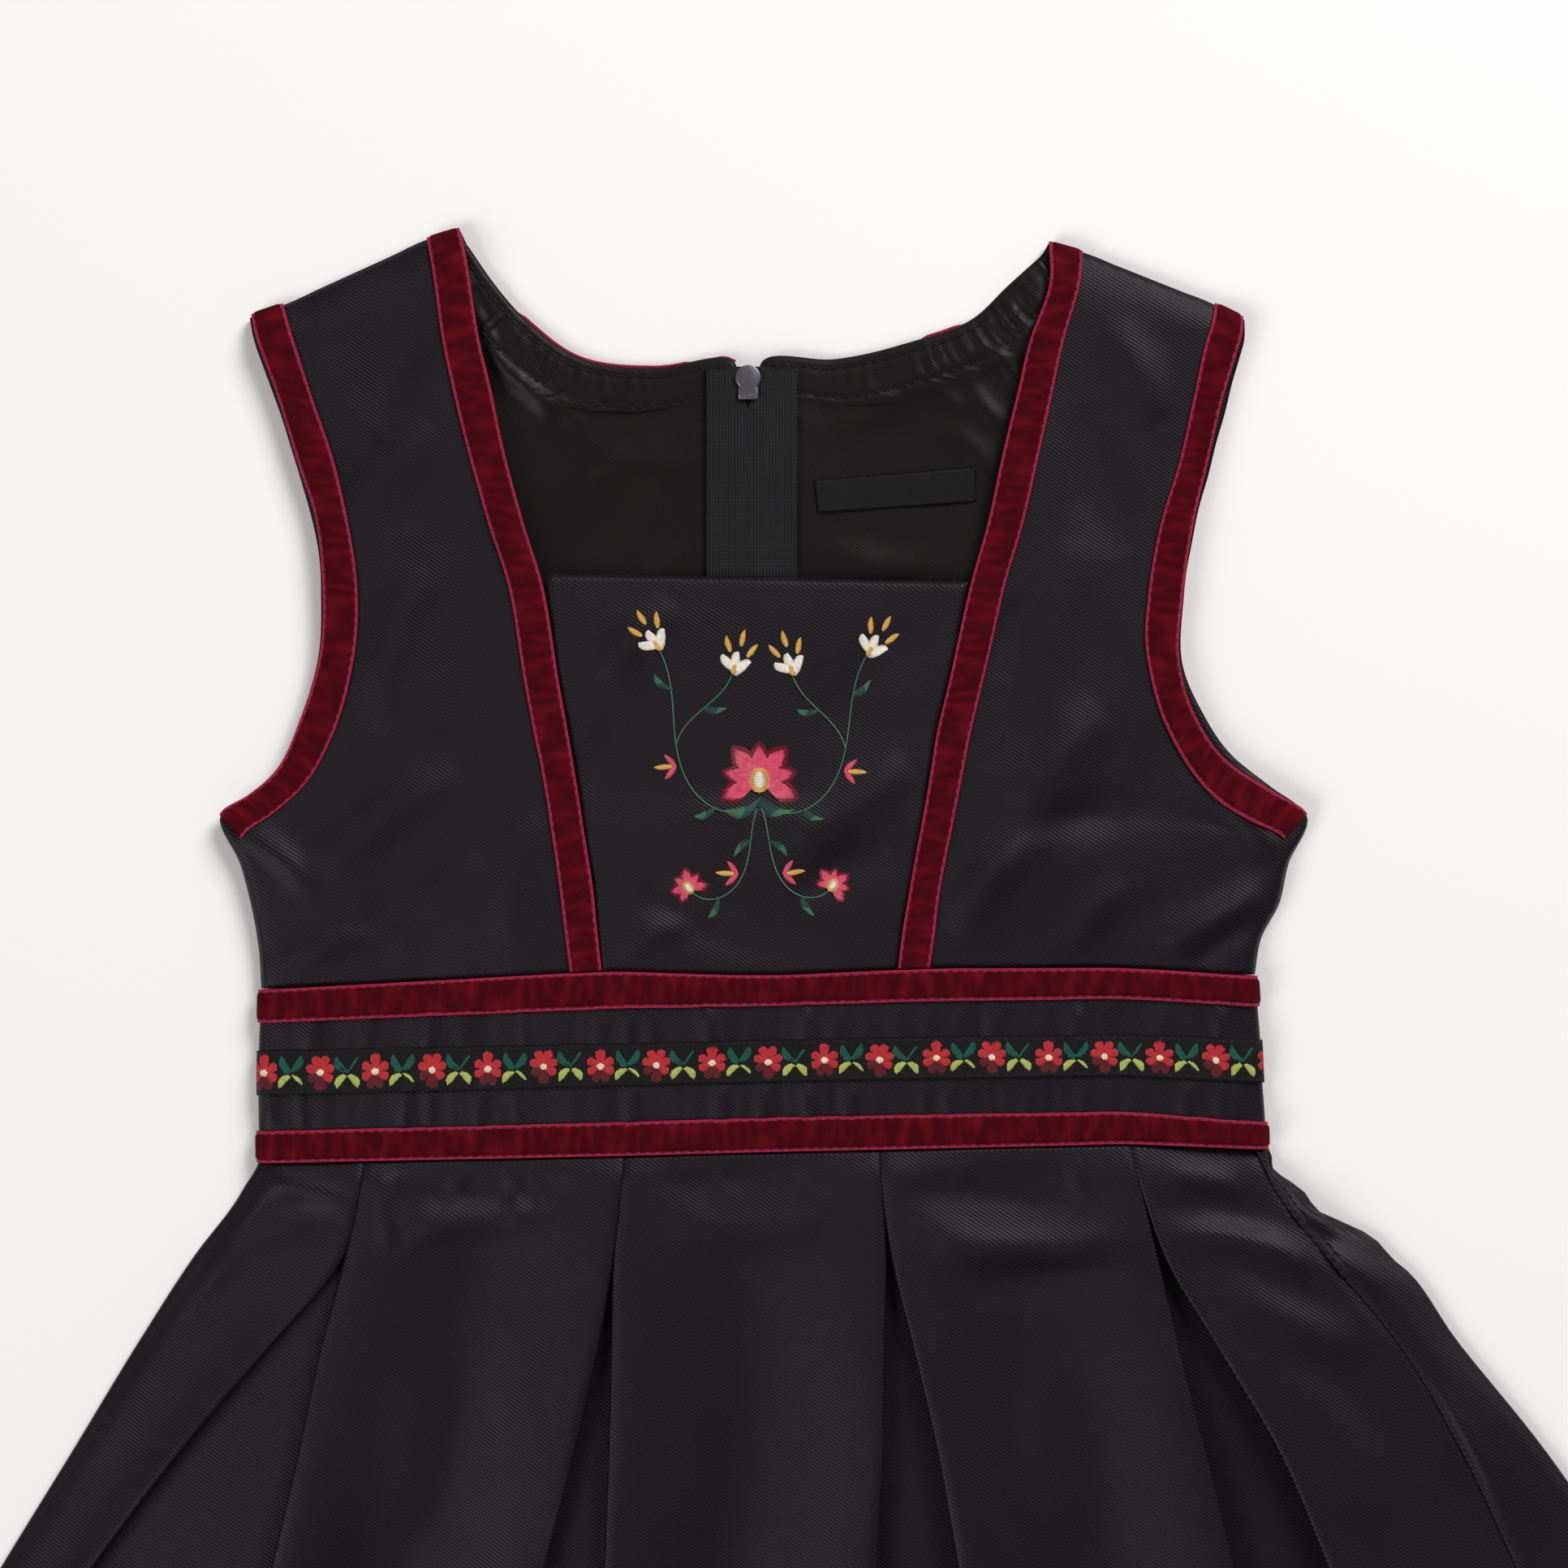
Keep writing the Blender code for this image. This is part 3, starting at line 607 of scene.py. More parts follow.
@dataclass(frozen=True)
class Finish:
    """What a material starts from."""

    name: str
    colour: Colour
    roughness: float
    sheen: float = 0.0
    sheen_tint: Colour = (1.0, 1.0, 1.0, 1.0)
    metallic: float = 0.0
    specular: float = 0.5

    def start(self) -> tuple[Material, Wiring, bpy.types.Node]:
        """A new material with a Principled shader.

        Returns:
            The material, its wiring and the shader.
        """
        material = bpy.data.materials.new(self.name)
        material.use_nodes = True
        shader = material.node_tree.nodes["Principled BSDF"]
        shader.inputs["Base Color"].default_value = self.colour
        shader.inputs["Roughness"].default_value = self.roughness
        shader.inputs["Metallic"].default_value = self.metallic
        shader.inputs["Sheen Weight"].default_value = self.sheen
        shader.inputs["Specular IOR Level"].default_value = self.specular
        shader.inputs["Sheen Roughness"].default_value = 0.45
        shader.inputs["Sheen Tint"].default_value = self.sheen_tint
        return material, Wiring(material.node_tree), shader


def bump(wiring: Wiring, shader: bpy.types.Node, height: Socket, depth: float) -> None:
    """Drive a shader's normal from a height.

    Args:
        wiring: The material's wiring.
        shader: Its Principled shader.
        height: Height from 0 to 1 or so.
        depth: What one of height is, in millimetres.
    """
    node = wiring.add("ShaderNodeBump")
    node.inputs["Strength"].default_value = 1.0
    node.inputs["Distance"].default_value = depth * MM
    wiring.join(height, node.inputs["Height"])
    wiring.join(node.outputs["Normal"], shader.inputs["Normal"])


@dataclass(frozen=True)
class TwillFinish(Finish):
    """Satin-faced twill."""

    bright: Colour = linear(36, 29, 37)
    depth: float = 0.055

    def made(self, weave: bpy.types.NodeTree, mottle: bpy.types.NodeTree) -> Material:
        """The material.

        Args:
            weave: Twill weave group.
            mottle: Mottle group.

        Returns:
            The material.
        """
        material, wiring, shader = self.start()
        lines = wiring.add("ShaderNodeGroup", node_tree=weave)
        lines.inputs["Line"].default_value = 1.0
        lines.inputs["Thread"].default_value = 0.35
        clouds = wiring.add("ShaderNodeGroup", node_tree=mottle)
        clouds.inputs["Cloud"].default_value = 0.03
        shade = wiring.math("MULTIPLY", lines.outputs["Lines"], 0.62)
        shade = wiring.math("ADD", shade, wiring.math("MULTIPLY", clouds.outputs["Cloud"], 0.16))
        colour = wiring.mixed(shade, self.colour, self.bright)
        speck = wiring.math("MULTIPLY", clouds.outputs["Lint"], 0.12)
        colour = wiring.mixed(speck, colour, linear(150, 146, 150))
        wiring.join(colour, shader.inputs["Base Color"])
        rough = wiring.math("MULTIPLY", clouds.outputs["Cloud"], 0.12)
        wiring.join(wiring.math("ADD", rough, self.roughness - 0.06), shader.inputs["Roughness"])
        bump(wiring, shader, lines.outputs["Height"], self.depth)
        return material


@dataclass(frozen=True)
class VelvetFinish(Finish):
    """Velvet ribbon: short pile with painted highlights on its puckers, between two smooth selvedges."""

    pale: Colour = linear(104, 12, 24)
    edge: Colour = linear(168, 38, 72)
    selvedge: float = 0.95

    def made(self, mottle: bpy.types.NodeTree) -> Material:
        """The material.

        Args:
            mottle: Not used.

        Returns:
            The material.
        """
        material, wiring, shader = self.start()
        weave = wiring.weave()
        parts = wiring.add("ShaderNodeSeparateXYZ")
        wiring.join(weave, parts.inputs[0])
        along, across, half = parts.outputs
        side = wiring.math("ABSOLUTE", across)
        edge = wiring.math("GREATER_THAN", side, wiring.math("SUBTRACT", half, self.selvedge))
        stretched = wiring.add("ShaderNodeCombineXYZ")
        wiring.join(wiring.math("MULTIPLY", along, 0.3), stretched.inputs[0])
        wiring.join(wiring.math("MULTIPLY", across, 0.12), stretched.inputs[1])
        # Pale stretched streaks across the pile are painted highlights on its puckers; the fine pile noise adds random
        # tone.
        painted_pucker_highlights = wiring.noise(stretched.outputs[0], 1.0, 1.0)
        pile = wiring.noise(weave, 5.0, 2.0)
        shade = wiring.add("ShaderNodeMapRange")
        shade.inputs["From Min"].default_value = 0.42
        shade.inputs["From Max"].default_value = 0.85
        wiring.join(painted_pucker_highlights, shade.inputs["Value"])
        speckle = wiring.math("MULTIPLY", pile, 0.35)
        share = wiring.math("ADD", wiring.math("MULTIPLY", shade.outputs[0], 0.75), speckle)
        body = wiring.mixed(share, self.colour, self.pale)
        ribs = wiring.bands(weave, 0.0, 0.5)
        rib_shade = wiring.math("MULTIPLY", ribs, 0.4)
        border = wiring.mixed(rib_shade, self.edge, linear(120, 20, 48))
        wiring.join(wiring.mixed(edge, body, border), shader.inputs["Base Color"])
        fuzz = wiring.math("MULTIPLY", pile, 1.0)
        high = wiring.math("ADD", fuzz, wiring.math("MULTIPLY", ribs, edge))
        bump(wiring, shader, high, 0.12)
        return material


@dataclass(frozen=True)
class WovenFinish(Finish):
    """Plain woven or knitted narrow cloth with fine ribs."""

    period: float = 0.5
    cross: float = 0.5
    depth: float = 0.05
    bright: Colour = (0.1, 0.1, 0.1, 1.0)

    def made(self, mottle: bpy.types.NodeTree) -> Material:
        """The material.

        Args:
            mottle: Group of clouds and specks.

        Returns:
            The material.
        """
        material, wiring, shader = self.start()
        weave = wiring.weave()
        warp = wiring.bands(weave, 0.0, self.period, 0.4)
        weft = wiring.bands(weave, 90.0, self.cross, 0.4)
        both = wiring.math("MULTIPLY", warp, weft)
        clouds = wiring.add("ShaderNodeGroup", node_tree=mottle)
        clouds.inputs["Cloud"].default_value = 0.06
        share = wiring.math("MULTIPLY", both, wiring.math("ADD", clouds.outputs["Cloud"], 0.2))
        wiring.join(wiring.mixed(share, self.colour, self.bright), shader.inputs["Base Color"])
        bump(wiring, shader, wiring.math("ADD", both, warp), self.depth)
        return material


@dataclass(frozen=True)
class ThreadFinish(Finish):
    """Shiny embroidery thread with a twist and uneven dye."""

    def made(self) -> Material:
        """The material.

        Returns:
            The material.
        """
        material, wiring, shader = self.start()
        where = wiring.add("ShaderNodeTexCoord").outputs["Object"]
        uneven = wiring.noise(where, 900.0, 2.0)
        dark = tuple(0.62 * part for part in self.colour[:3]) + (1.0,)
        pale = tuple(min(1.0, 1.15 * part) for part in self.colour[:3]) + (1.0,)
        wiring.join(wiring.mixed(uneven, dark, pale), shader.inputs["Base Color"])
        bump(wiring, shader, wiring.noise(where, 4000.0, 1.0), 0.06)
        return material


@dataclass(frozen=True)
class MetalFinish(Finish):
    """Painted die-cast metal with worn edges."""

    worn: Colour = linear(150, 147, 152)

    def made(self) -> Material:
        """The material.

        Returns:
            The material.
        """
        material, wiring, shader = self.start()
        where = wiring.add("ShaderNodeTexCoord").outputs["Object"]
        grain = wiring.noise(where, 1500.0, 3.0)
        edge = wiring.add("ShaderNodeNewGeometry").outputs["Pointiness"]
        rubbed = wiring.add("ShaderNodeMapRange")
        rubbed.inputs["From Min"].default_value = 0.53
        rubbed.inputs["From Max"].default_value = 0.62
        wiring.join(edge, rubbed.inputs["Value"])
        share = wiring.math("ADD", rubbed.outputs[0], wiring.math("MULTIPLY", grain, 0.3))
        wiring.join(wiring.mixed(share, self.colour, self.worn), shader.inputs["Base Color"])
        bump(wiring, shader, grain, 0.03)
        return material


@dataclass
class Wardrobe:
    """Every material of the dress, made once."""

    made: dict[str, Material] = field(default_factory=dict)

    def fill(self) -> None:
        """Make the materials."""
        weave, mottle = build_weave_group(), build_mottle_group()
        twill = TwillFinish("black_twill", linear(8, 4, 8), 0.42, 0.0, specular=0.165)
        lining = TwillFinish(
            "dark_lining", linear(17, 12, 13), 0.45, 0.0, specular=0.15, bright=linear(27, 21, 22), depth=0.012)
        velvet = VelvetFinish("burgundy_velvet", linear(50, 3, 10), 0.85, 0.12, linear(190, 30, 50), specular=0.05)
        self.made["twill"] = twill.made(weave, mottle)
        self.made["lining"] = lining.made(weave, mottle)
        self.made["velvet"] = velvet.made(mottle)
        woven = (
            WovenFinish("jacquard_ground", linear(11, 9, 11), 0.6, specular=0.15, period=0.36, cross=0.5,
                bright=linear(40, 37, 40)),
            WovenFinish("zip_tape_knit", linear(13, 13, 14), 0.7, specular=0.2, period=0.9, cross=0.55, depth=0.16,
                bright=linear(62, 62, 66)),
            WovenFinish("label_satin", linear(4, 4, 5), 0.3, specular=0.22, period=0.3, cross=0.3,
                bright=linear(16, 16, 18)),
        )
        for finish in woven:
            self.made[finish.name] = finish.made(mottle)
        # The darker red weft colour is painted shade for the lower petals of the woven flowers.
        threads = {"thread_black": (15, 14, 16), "thread_velvet": (64, 6, 20), "thread_pink": (216, 78, 108),
            "thread_dark_red": (112, 14, 34), "thread_cream": (240, 230, 218), "thread_yellow": (222, 172, 86),
            "thread_green": (66, 112, 84), "thread_deep_green": (36, 70, 64), "weft_red": (186, 38, 46),
            "weft_red_painted_shade": (92, 10, 24), "weft_green": (0, 82, 66), "weft_light_green": (172, 182, 92),
            "weft_cream": (232, 216, 184)}
        for name, shade in threads.items():
            finish = ThreadFinish(name, linear(*shade), 0.42, specular=0.3)
            self.made[name] = finish.made()
        coil = WovenFinish("zip_coil_nylon", linear(12, 12, 13), 0.4, specular=0.3, bright=linear(40, 40, 42))
        self.made["coil"] = coil.made(mottle)
        metal = MetalFinish("slider_grey", linear(78, 76, 82), 0.38, metallic=0.6)
        self.made["metal"] = metal.made()


# lay-out


class SideRow(NamedTuple):
    """A line across a side of the bodice, with the heights of its columns."""

    edge: Flat
    trim: Flat
    neck_trim: Flat
    neck: Flat
    heights: tuple[float, ...]


class BandLine(NamedTuple):
    """A line along the waistband: its height at six stations, and its two ends."""

    left: float
    at_m45: float
    at_0: float
    at_47: float
    at_104: float
    right: float
    left_x: float
    right_x: float


class SkirtRow(NamedTuple):
    """A line round the skirt: its outline, its four pleats, and its seam."""

    y: float
    rise: float
    left: float
    a1: float
    b1: float
    a2: float
    b2: float
    a3: float
    b3: float
    a4: float
    b4: float
    right: float
    seam: float
    depth: float
    seam_z: float


class TapeRow(NamedTuple):
    """A place along the zip tape: how high it is and where its inner edge is."""

    y: float
    z: float
    inner: float


class CoilRow(NamedTuple):
    """A place along the zip's chain, with its lowest and highest point."""

    y: float
    low: float
    high: float


CLOTH = 1.0
GAP = 0.3
SEAM_GAP = 0.4
LAYER = CLOTH + GAP
ZIP_X = -4.2
SLIT = 1.9
SLIDER_SLIT = 3.9
TAPE_LEFT = -16.1
TAPE_RIGHT = 9.7
PULL_Y = 219.0
PULL_Z = 1.2
LEFT_SLIT = ZIP_X - SLIT
RIGHT_SLIT = ZIP_X + SLIT
LEFT_SLIDER = ZIP_X - SLIDER_SLIT
RIGHT_SLIDER = ZIP_X + SLIDER_SLIT

SEAM = (3.75, 5.2, 5.9, 6.0, 6.0)
UNDERARM = (4.4, 4.8, 5.2, 5.6, 5.9)
ARMHOLE = (4.9, 5.0, 5.1, 5.2, 5.6)
STRAP = (5.0, 5.0, 5.0, 5.0, 5.1)
NEAR_SHOULDER = (4.7, 4.7, 4.7, 4.7, 4.7)
SHOULDER = (3.1, 3.1, 3.1, 3.1, 3.1)

FRONT_LEFT = [SideRow((-142.4, 46.9), (-133.0, 47.8), (-54.7, 51.8), (-45.8, 52.2), SEAM),
    SideRow((-143.2, 58.0), (-134.0, 58.3), (-56.2, 62.5), (-47.1, 63.5), SEAM),
    SideRow((-145.4, 70.4), (-136.5, 71.0), (-57.5, 73.4), (-48.3, 75.4), SEAM),
    SideRow((-148.5, 82.0), (-141.0, 80.0), (-58.8, 83.0), (-49.8, 85.0), SEAM),
    SideRow((-154.1, 95.5), (-147.6, 88.9), (-60.4, 93.5), (-51.1, 93.0), UNDERARM),
    SideRow((-146.0, 101.3), (-138.2, 96.6), (-61.3, 99.5), (-52.0, 99.1), ARMHOLE),
    SideRow((-138.2, 108.1), (-130.0, 104.2), (-62.9, 109.0), (-53.6, 109.0), ARMHOLE),
    SideRow((-131.1, 123.3), (-122.0, 118.5), (-65.1, 119.6), (-55.4, 119.6), ARMHOLE),
    SideRow((-126.3, 138.7), (-116.8, 136.0), (-67.8, 134.0), (-58.0, 134.0), ARMHOLE),
    SideRow((-124.9, 158.2), (-115.0, 157.0), (-72.0, 159.5), (-62.1, 159.2), STRAP),
    SideRow((-127.0, 179.9), (-117.6, 178.4), (-78.3, 179.5), (-68.0, 178.6), STRAP),
    SideRow((-132.0, 195.3), (-121.7, 195.5), (-83.6, 198.5), (-73.5, 199.0), STRAP),
    SideRow((-138.2, 215.7), (-127.8, 213.5), (-88.3, 217.7), (-77.3, 217.0), STRAP),
    SideRow((-142.0, 226.0), (-132.0, 226.5), (-91.2, 232.0), (-80.8, 232.0), STRAP),
    SideRow((-144.4, 233.2), (-134.9, 235.6), (-94.2, 252.8), (-84.6, 255.5), NEAR_SHOULDER),
    SideRow((-145.4, 237.4), (-136.4, 240.6), (-95.5, 259.3), (-86.3, 262.2), SHOULDER)]
FRONT_RIGHT = [SideRow((139.6, 50.8), (130.0, 51.5), (47.4, 52.8), (38.3, 52.2), SEAM),
    SideRow((141.4, 60.5), (132.3, 60.5), (48.8, 62.1), (39.6, 62.5), SEAM),
    SideRow((146.6, 70.5), (137.5, 70.5), (50.0, 72.0), (41.2, 72.0), SEAM),
    SideRow((149.3, 82.0), (141.5, 79.5), (51.9, 83.0), (43.1, 83.0), SEAM),
    SideRow((154.4, 95.8), (147.8, 88.8), (53.9, 93.0), (45.0, 93.0), UNDERARM),
    SideRow((144.5, 102.4), (139.0, 93.4), (55.0, 98.5), (46.2, 99.5), ARMHOLE),
    SideRow((131.5, 111.2), (126.0, 102.6), (57.0, 109.0), (47.8, 109.0), ARMHOLE),
    SideRow((122.3, 124.8), (114.3, 121.2), (59.1, 119.6), (49.5, 119.6), ARMHOLE),
    SideRow((118.4, 138.0), (109.3, 139.0), (62.4, 133.6), (52.6, 132.5), ARMHOLE),
    SideRow((119.3, 158.5), (109.5, 158.8), (68.4, 159.5), (58.6, 159.5), STRAP),
    SideRow((122.6, 179.9), (113.4, 180.0), (74.3, 180.0), (64.3, 180.4), STRAP),
    SideRow((126.3, 195.3), (117.9, 194.5), (77.8, 195.5), (67.6, 196.0), STRAP),
    SideRow((130.5, 213.5), (122.3, 214.0), (82.2, 215.5), (72.4, 216.0), STRAP),
    SideRow((134.4, 226.5), (125.4, 228.5), (85.6, 231.0), (76.0, 231.0), STRAP),
    SideRow((136.2, 233.0), (127.6, 236.0), (90.2, 247.5), (81.6, 248.0), NEAR_SHOULDER),
    SideRow((136.4, 236.7), (128.4, 240.7), (90.9, 255.7), (81.4, 258.5), SHOULDER)]
ARMHOLE_FROM = 4
NECKLINE_ROW = 9

BY_BAND = (2.8, 2.2, 1.9, 1.8, 1.8, 1.8, 1.8)
BY_SEAM = (2.8, 1.6, 0.8, 0.5, 0.5, 0.5, 0.5)
BY_ARMHOLE = (1.8, 1.8, 1.8, 1.8, 0.5, 0.5, 0.5)
BY_ZIP = (1.8, 1.8, 1.8, 1.8, 0.5, 2.2, 2.4)
BY_NECK = (1.8, 1.8, 1.8, 1.8, 0.5, 1.8, 1.8)
ON_SHOULDER = (1.8, 1.8, 1.8, 1.8, 1.8, 1.8, 1.8)

BACK_LEFT = [SideRow((-142.4, 46.9), (-133.0, 47.8), (-14.9, 50.6), (LEFT_SLIT, 50.4), BY_BAND),
    SideRow((-143.2, 58.0), (-134.0, 58.3), (-14.9, 60.0), (LEFT_SLIT, 60.0), BY_SEAM),
    SideRow((-145.4, 70.4), (-136.5, 71.0), (-14.9, 73.0), (LEFT_SLIT, 73.0), BY_SEAM),
    SideRow((-148.5, 82.0), (-141.0, 80.0), (-14.9, 84.0), (LEFT_SLIT, 84.0), BY_SEAM),
    SideRow((-153.4, 95.6), (-147.6, 88.9), (-14.9, 93.0), (LEFT_SLIT, 93.0), BY_ARMHOLE),
    SideRow((-145.6, 101.8), (-138.2, 96.6), (-14.9, 99.0), (LEFT_SLIT, 99.0), BY_ARMHOLE),
    SideRow((-138.4, 108.8), (-130.0, 104.2), (-14.9, 108.0), (LEFT_SLIT, 108.0), BY_ARMHOLE),
    SideRow((-131.6, 123.6), (-122.0, 118.5), (-14.9, 120.0), (LEFT_SLIT, 120.0), BY_ARMHOLE),
    SideRow((-127.0, 138.9), (-116.8, 136.0), (-14.9, 134.0), (LEFT_SLIT, 134.0), BY_ARMHOLE),
    SideRow((-125.9, 158.2), (-115.2, 157.0), (-14.9, 159.0), (LEFT_SLIT, 159.0), BY_ARMHOLE),
    SideRow((-127.6, 176.0), (-117.6, 176.0), (-14.9, 196.0), (LEFT_SLIT, 200.0), BY_ZIP),
    SideRow((-129.6, 184.0), (-119.6, 184.6), (-15.4, 207.5), (LEFT_SLIDER, 212.5), BY_ZIP),
    SideRow((-131.8, 191.5), (-121.6, 192.5), (-13.9, 215.0), (LEFT_SLIDER, 224.5), BY_ZIP),
    SideRow((-134.4, 200.0), (-124.2, 200.5), (-30.0, 213.6), (-30.0, 222.9), BY_NECK),
    SideRow((-137.2, 209.0), (-127.0, 209.0), (-52.7, 216.0), (-50.5, 225.0), BY_NECK),
    SideRow((-141.0, 219.5), (-130.5, 219.5), (-72.0, 228.0), (-66.0, 235.1), BY_NECK),
    SideRow((-144.6, 229.5), (-133.8, 230.5), (-85.3, 243.1), (-77.1, 247.5), BY_NECK),
    SideRow((-145.6, 233.5), (-135.6, 236.2), (-93.2, 254.0), (-84.0, 257.5), ON_SHOULDER),
    SideRow((-146.2, 237.2), (-136.4, 240.6), (-95.5, 259.3), (-86.3, 262.2), ON_SHOULDER)]
BACK_RIGHT = [SideRow((139.6, 50.8), (130.0, 51.5), (6.5, 50.4), (RIGHT_SLIT, 50.4), BY_BAND),
    SideRow((141.4, 60.5), (132.3, 60.5), (6.5, 60.0), (RIGHT_SLIT, 60.0), BY_SEAM),
    SideRow((146.6, 70.5), (137.5, 70.5), (6.5, 73.0), (RIGHT_SLIT, 73.0), BY_SEAM),
    SideRow((149.3, 82.0), (141.5, 79.5), (6.5, 84.0), (RIGHT_SLIT, 84.0), BY_SEAM),
    SideRow((154.0, 96.2), (147.8, 88.8), (6.5, 93.0), (RIGHT_SLIT, 93.0), BY_ARMHOLE),
    SideRow((145.0, 103.4), (139.0, 93.4), (6.5, 99.0), (RIGHT_SLIT, 99.0), BY_ARMHOLE),
    SideRow((133.6, 112.6), (126.0, 102.6), (6.5, 108.0), (RIGHT_SLIT, 108.0), BY_ARMHOLE),
    SideRow((124.8, 125.6), (115.0, 121.2), (6.5, 120.0), (RIGHT_SLIT, 120.0), BY_ARMHOLE),
    SideRow((119.6, 138.2), (109.8, 139.0), (6.5, 134.0), (RIGHT_SLIT, 134.0), BY_ARMHOLE),
    SideRow((120.0, 158.5), (109.8, 158.8), (6.5, 159.0), (RIGHT_SLIT, 159.0), BY_ARMHOLE),
    SideRow((122.4, 174.0), (112.4, 175.0), (6.5, 196.0), (RIGHT_SLIT, 200.0), BY_ZIP),
    SideRow((124.2, 183.0), (114.6, 184.0), (7.0, 207.5), (RIGHT_SLIDER, 212.5), BY_ZIP),
    SideRow((126.8, 192.0), (117.2, 193.0), (5.5, 215.0), (RIGHT_SLIDER, 224.5), BY_ZIP),
    SideRow((129.0, 201.0), (119.4, 202.0), (21.3, 216.1), (20.0, 225.3), BY_NECK),
    SideRow((131.6, 210.0), (122.0, 211.5), (44.6, 221.3), (42.0, 230.2), BY_NECK),
    SideRow((133.8, 219.0), (124.2, 221.0), (65.2, 229.4), (60.0, 237.0), BY_NECK),
    SideRow((136.0, 226.5), (126.6, 228.5), (76.0, 239.0), (70.0, 246.4), BY_NECK),
    SideRow((137.2, 231.2), (127.6, 233.6), (85.6, 245.0), (78.6, 254.2), ON_SHOULDER),
    SideRow((137.2, 236.6), (128.6, 240.7), (90.9, 255.7), (81.4, 258.5), ON_SHOULDER)]
NECK_FROM = 12
LINING_FROM = 8
LINING_TO = 17

BAND = [BandLine(-3.2, -1.2, 0.0, 1.0, 2.3, 0.7, -143.0, 142.9),
    BandLine(5.8, 8.3, 9.7, 10.6, 11.4, 8.3, -143.1, 142.6),
    BandLine(15.9, 18.6, 19.8, 20.8, 21.6, 19.6, -143.2, 141.8),
    BandLine(28.5, 30.4, 31.5, 32.4, 33.1, 31.7, -143.1, 141.2),
    BandLine(36.6, 40.6, 41.4, 42.8, 43.5, 41.2, -142.8, 140.4),
    BandLine(45.9, 51.2, 49.9, 52.0, 52.2, 49.8, -142.5, 139.7)]
BAND_FRONT_Z = (3.75, 5.2, 5.9, 6.0)
BAND_BACK_Z = (2.8, 2.2, 1.9, 1.8)
ROLL = (0.0, 1.2, 4.0, 9.5)

SKIRT = [SkirtRow(0, 0, -143.6, -113.9, -112.6, -40.0, -38.7, 32.4, 33.7, 103.4, 104.7, 144.0, 140.0, 22, 3.6),
    SkirtRow(-12, 0, -148.5, -115.2, -113.8, -41.0, -39.6, 33.2, 34.7, 106.7, 108.5, 151.2, 146.0, 22, 4.0),
    SkirtRow(-30, 0, -161.8, -119.9, -117.6, -43.3, -41.4, 34.0, 37.4, 111.0, 115.0, 179.0, 160.0, 22, 5.0),
    SkirtRow(-55, 0, -178.0, -140.6, -124.2, -47.4, -42.0, 33.6, 43.5, 117.0, 129.6, 198.2, 180.5, 21, 5.0),
    SkirtRow(-85, 0, -196.2, -166.0, -130.5, -54.2, -42.8, 33.1, 50.4, 124.6, 147.2, 222.4, 198.2, 20, 5.0),
    SkirtRow(-118, 0, -216.5, -190.9, -138.2, -62.6, -43.9, 31.5, 56.4, 132.7, 161.2, 245.0, 213.8, 18, 5.0),
    SkirtRow(-190, 8, -257.0, -232.0, -153.0, -79.0, -46.0, 30.0, 72.0, 150.0, 192.0, 285.0, 246.0, 15, 5.0),
    SkirtRow(-290, 32, -300.0, -274.0, -174.0, -102.0, -49.0, 28.0, 94.0, 175.0, 232.0, 326.0, 281.0, 13, 5.0),
    SkirtRow(-420, 64, -347.0, -320.0, -200.0, -132.0, -52.0, 25.0, 122.0, 206.0, 282.0, 372.8, 322.0, 12, 5.0)]
RISE_AT = 350.0
LEFT_WRAP = 11.0
BACK_SHIFT = (4.0, 3.0, -2.0, -2.0)
BACK_SHALLOWER = 4.0

TAPE = [TapeRow(-80.0, 1.8, 0.15), TapeRow(-25.0, 1.8, 0.15), TapeRow(-10.0, 3.1, 0.15), TapeRow(52.0, 3.1, 0.15),
    TapeRow(159.0, 3.1, 0.15), TapeRow(195.0, 5.0, 0.15), TapeRow(212.0, 5.0, 0.15), TapeRow(214.0, 5.0, 1.4),
    TapeRow(223.0, 5.0, 1.4)]
COIL = [CoilRow(-80.0, 0.2, 1.0), CoilRow(-25.0, 0.2, 1.0), CoilRow(-10.0, 0.2, 2.3), CoilRow(159.0, 0.2, 2.3),
    CoilRow(196.0, 2.0, 4.2), CoilRow(213.2, 2.0, 4.2)]
LABEL_CORNERS = ((15.6, 181.7), (60.7, 184.9), (60.7, 194.6), (14.5, 190.7))


def between(first: Flat, second: Flat, share: float) -> Flat:
    """The place a share of the way from first to second."""
    return (first[0] + (second[0] - first[0]) * share, first[1] + (second[1] - first[1]) * share)


def band_y(line: BandLine, x: float) -> float:
    """Height of a line of the waistband at x.

    Args:
        line: The line.
        x: Where across.

    Returns:
        Its height on the lay-out.
    """
    stations = (line.left_x, -45.0, 0.0, 47.4, 104.0, line.right_x)
    i = min(4, max(0, sum(x > place for place in stations[1:])))
    share = (x - stations[i]) / (stations[i + 1] - stations[i])
    return line[i] + (line[i + 1] - line[i]) * share


def side_table(table: list[SideRow]) -> Array:
    """Points of a panel from its edge to the neck, nine columns.

    Args:
        table: The panel's lines.

    Returns:
        Rows by nine by three.
    """
    rows = []
    for row in table:
        high = row.heights
        if len(high) == 5:
            inner = [high[3] + (high[4] - high[3]) * k / 5 for k in range(1, 4)] + [high[4]] * 2
        else:
            inner = [high[4]] * 3 + [high[5], high[6]]
        flat = [between(row.edge, row.trim, share) for share in (0.0, 0.13, 0.42, 1.0)]
        flat += [between(row.trim, row.neck_trim, share) for share in (0.25, 0.5, 0.75, 1.0)]
        flat.append(row.neck)
        heights = list(high[:4]) + inner
        rows.append([(x, y, z) for (x, y), z in zip(flat, heights)])
    rows[0] = [(x, band_y(BAND[5], x) + SEAM_GAP, z) for x, _, z in rows[0]]
    return np.array(rows)


# dressing


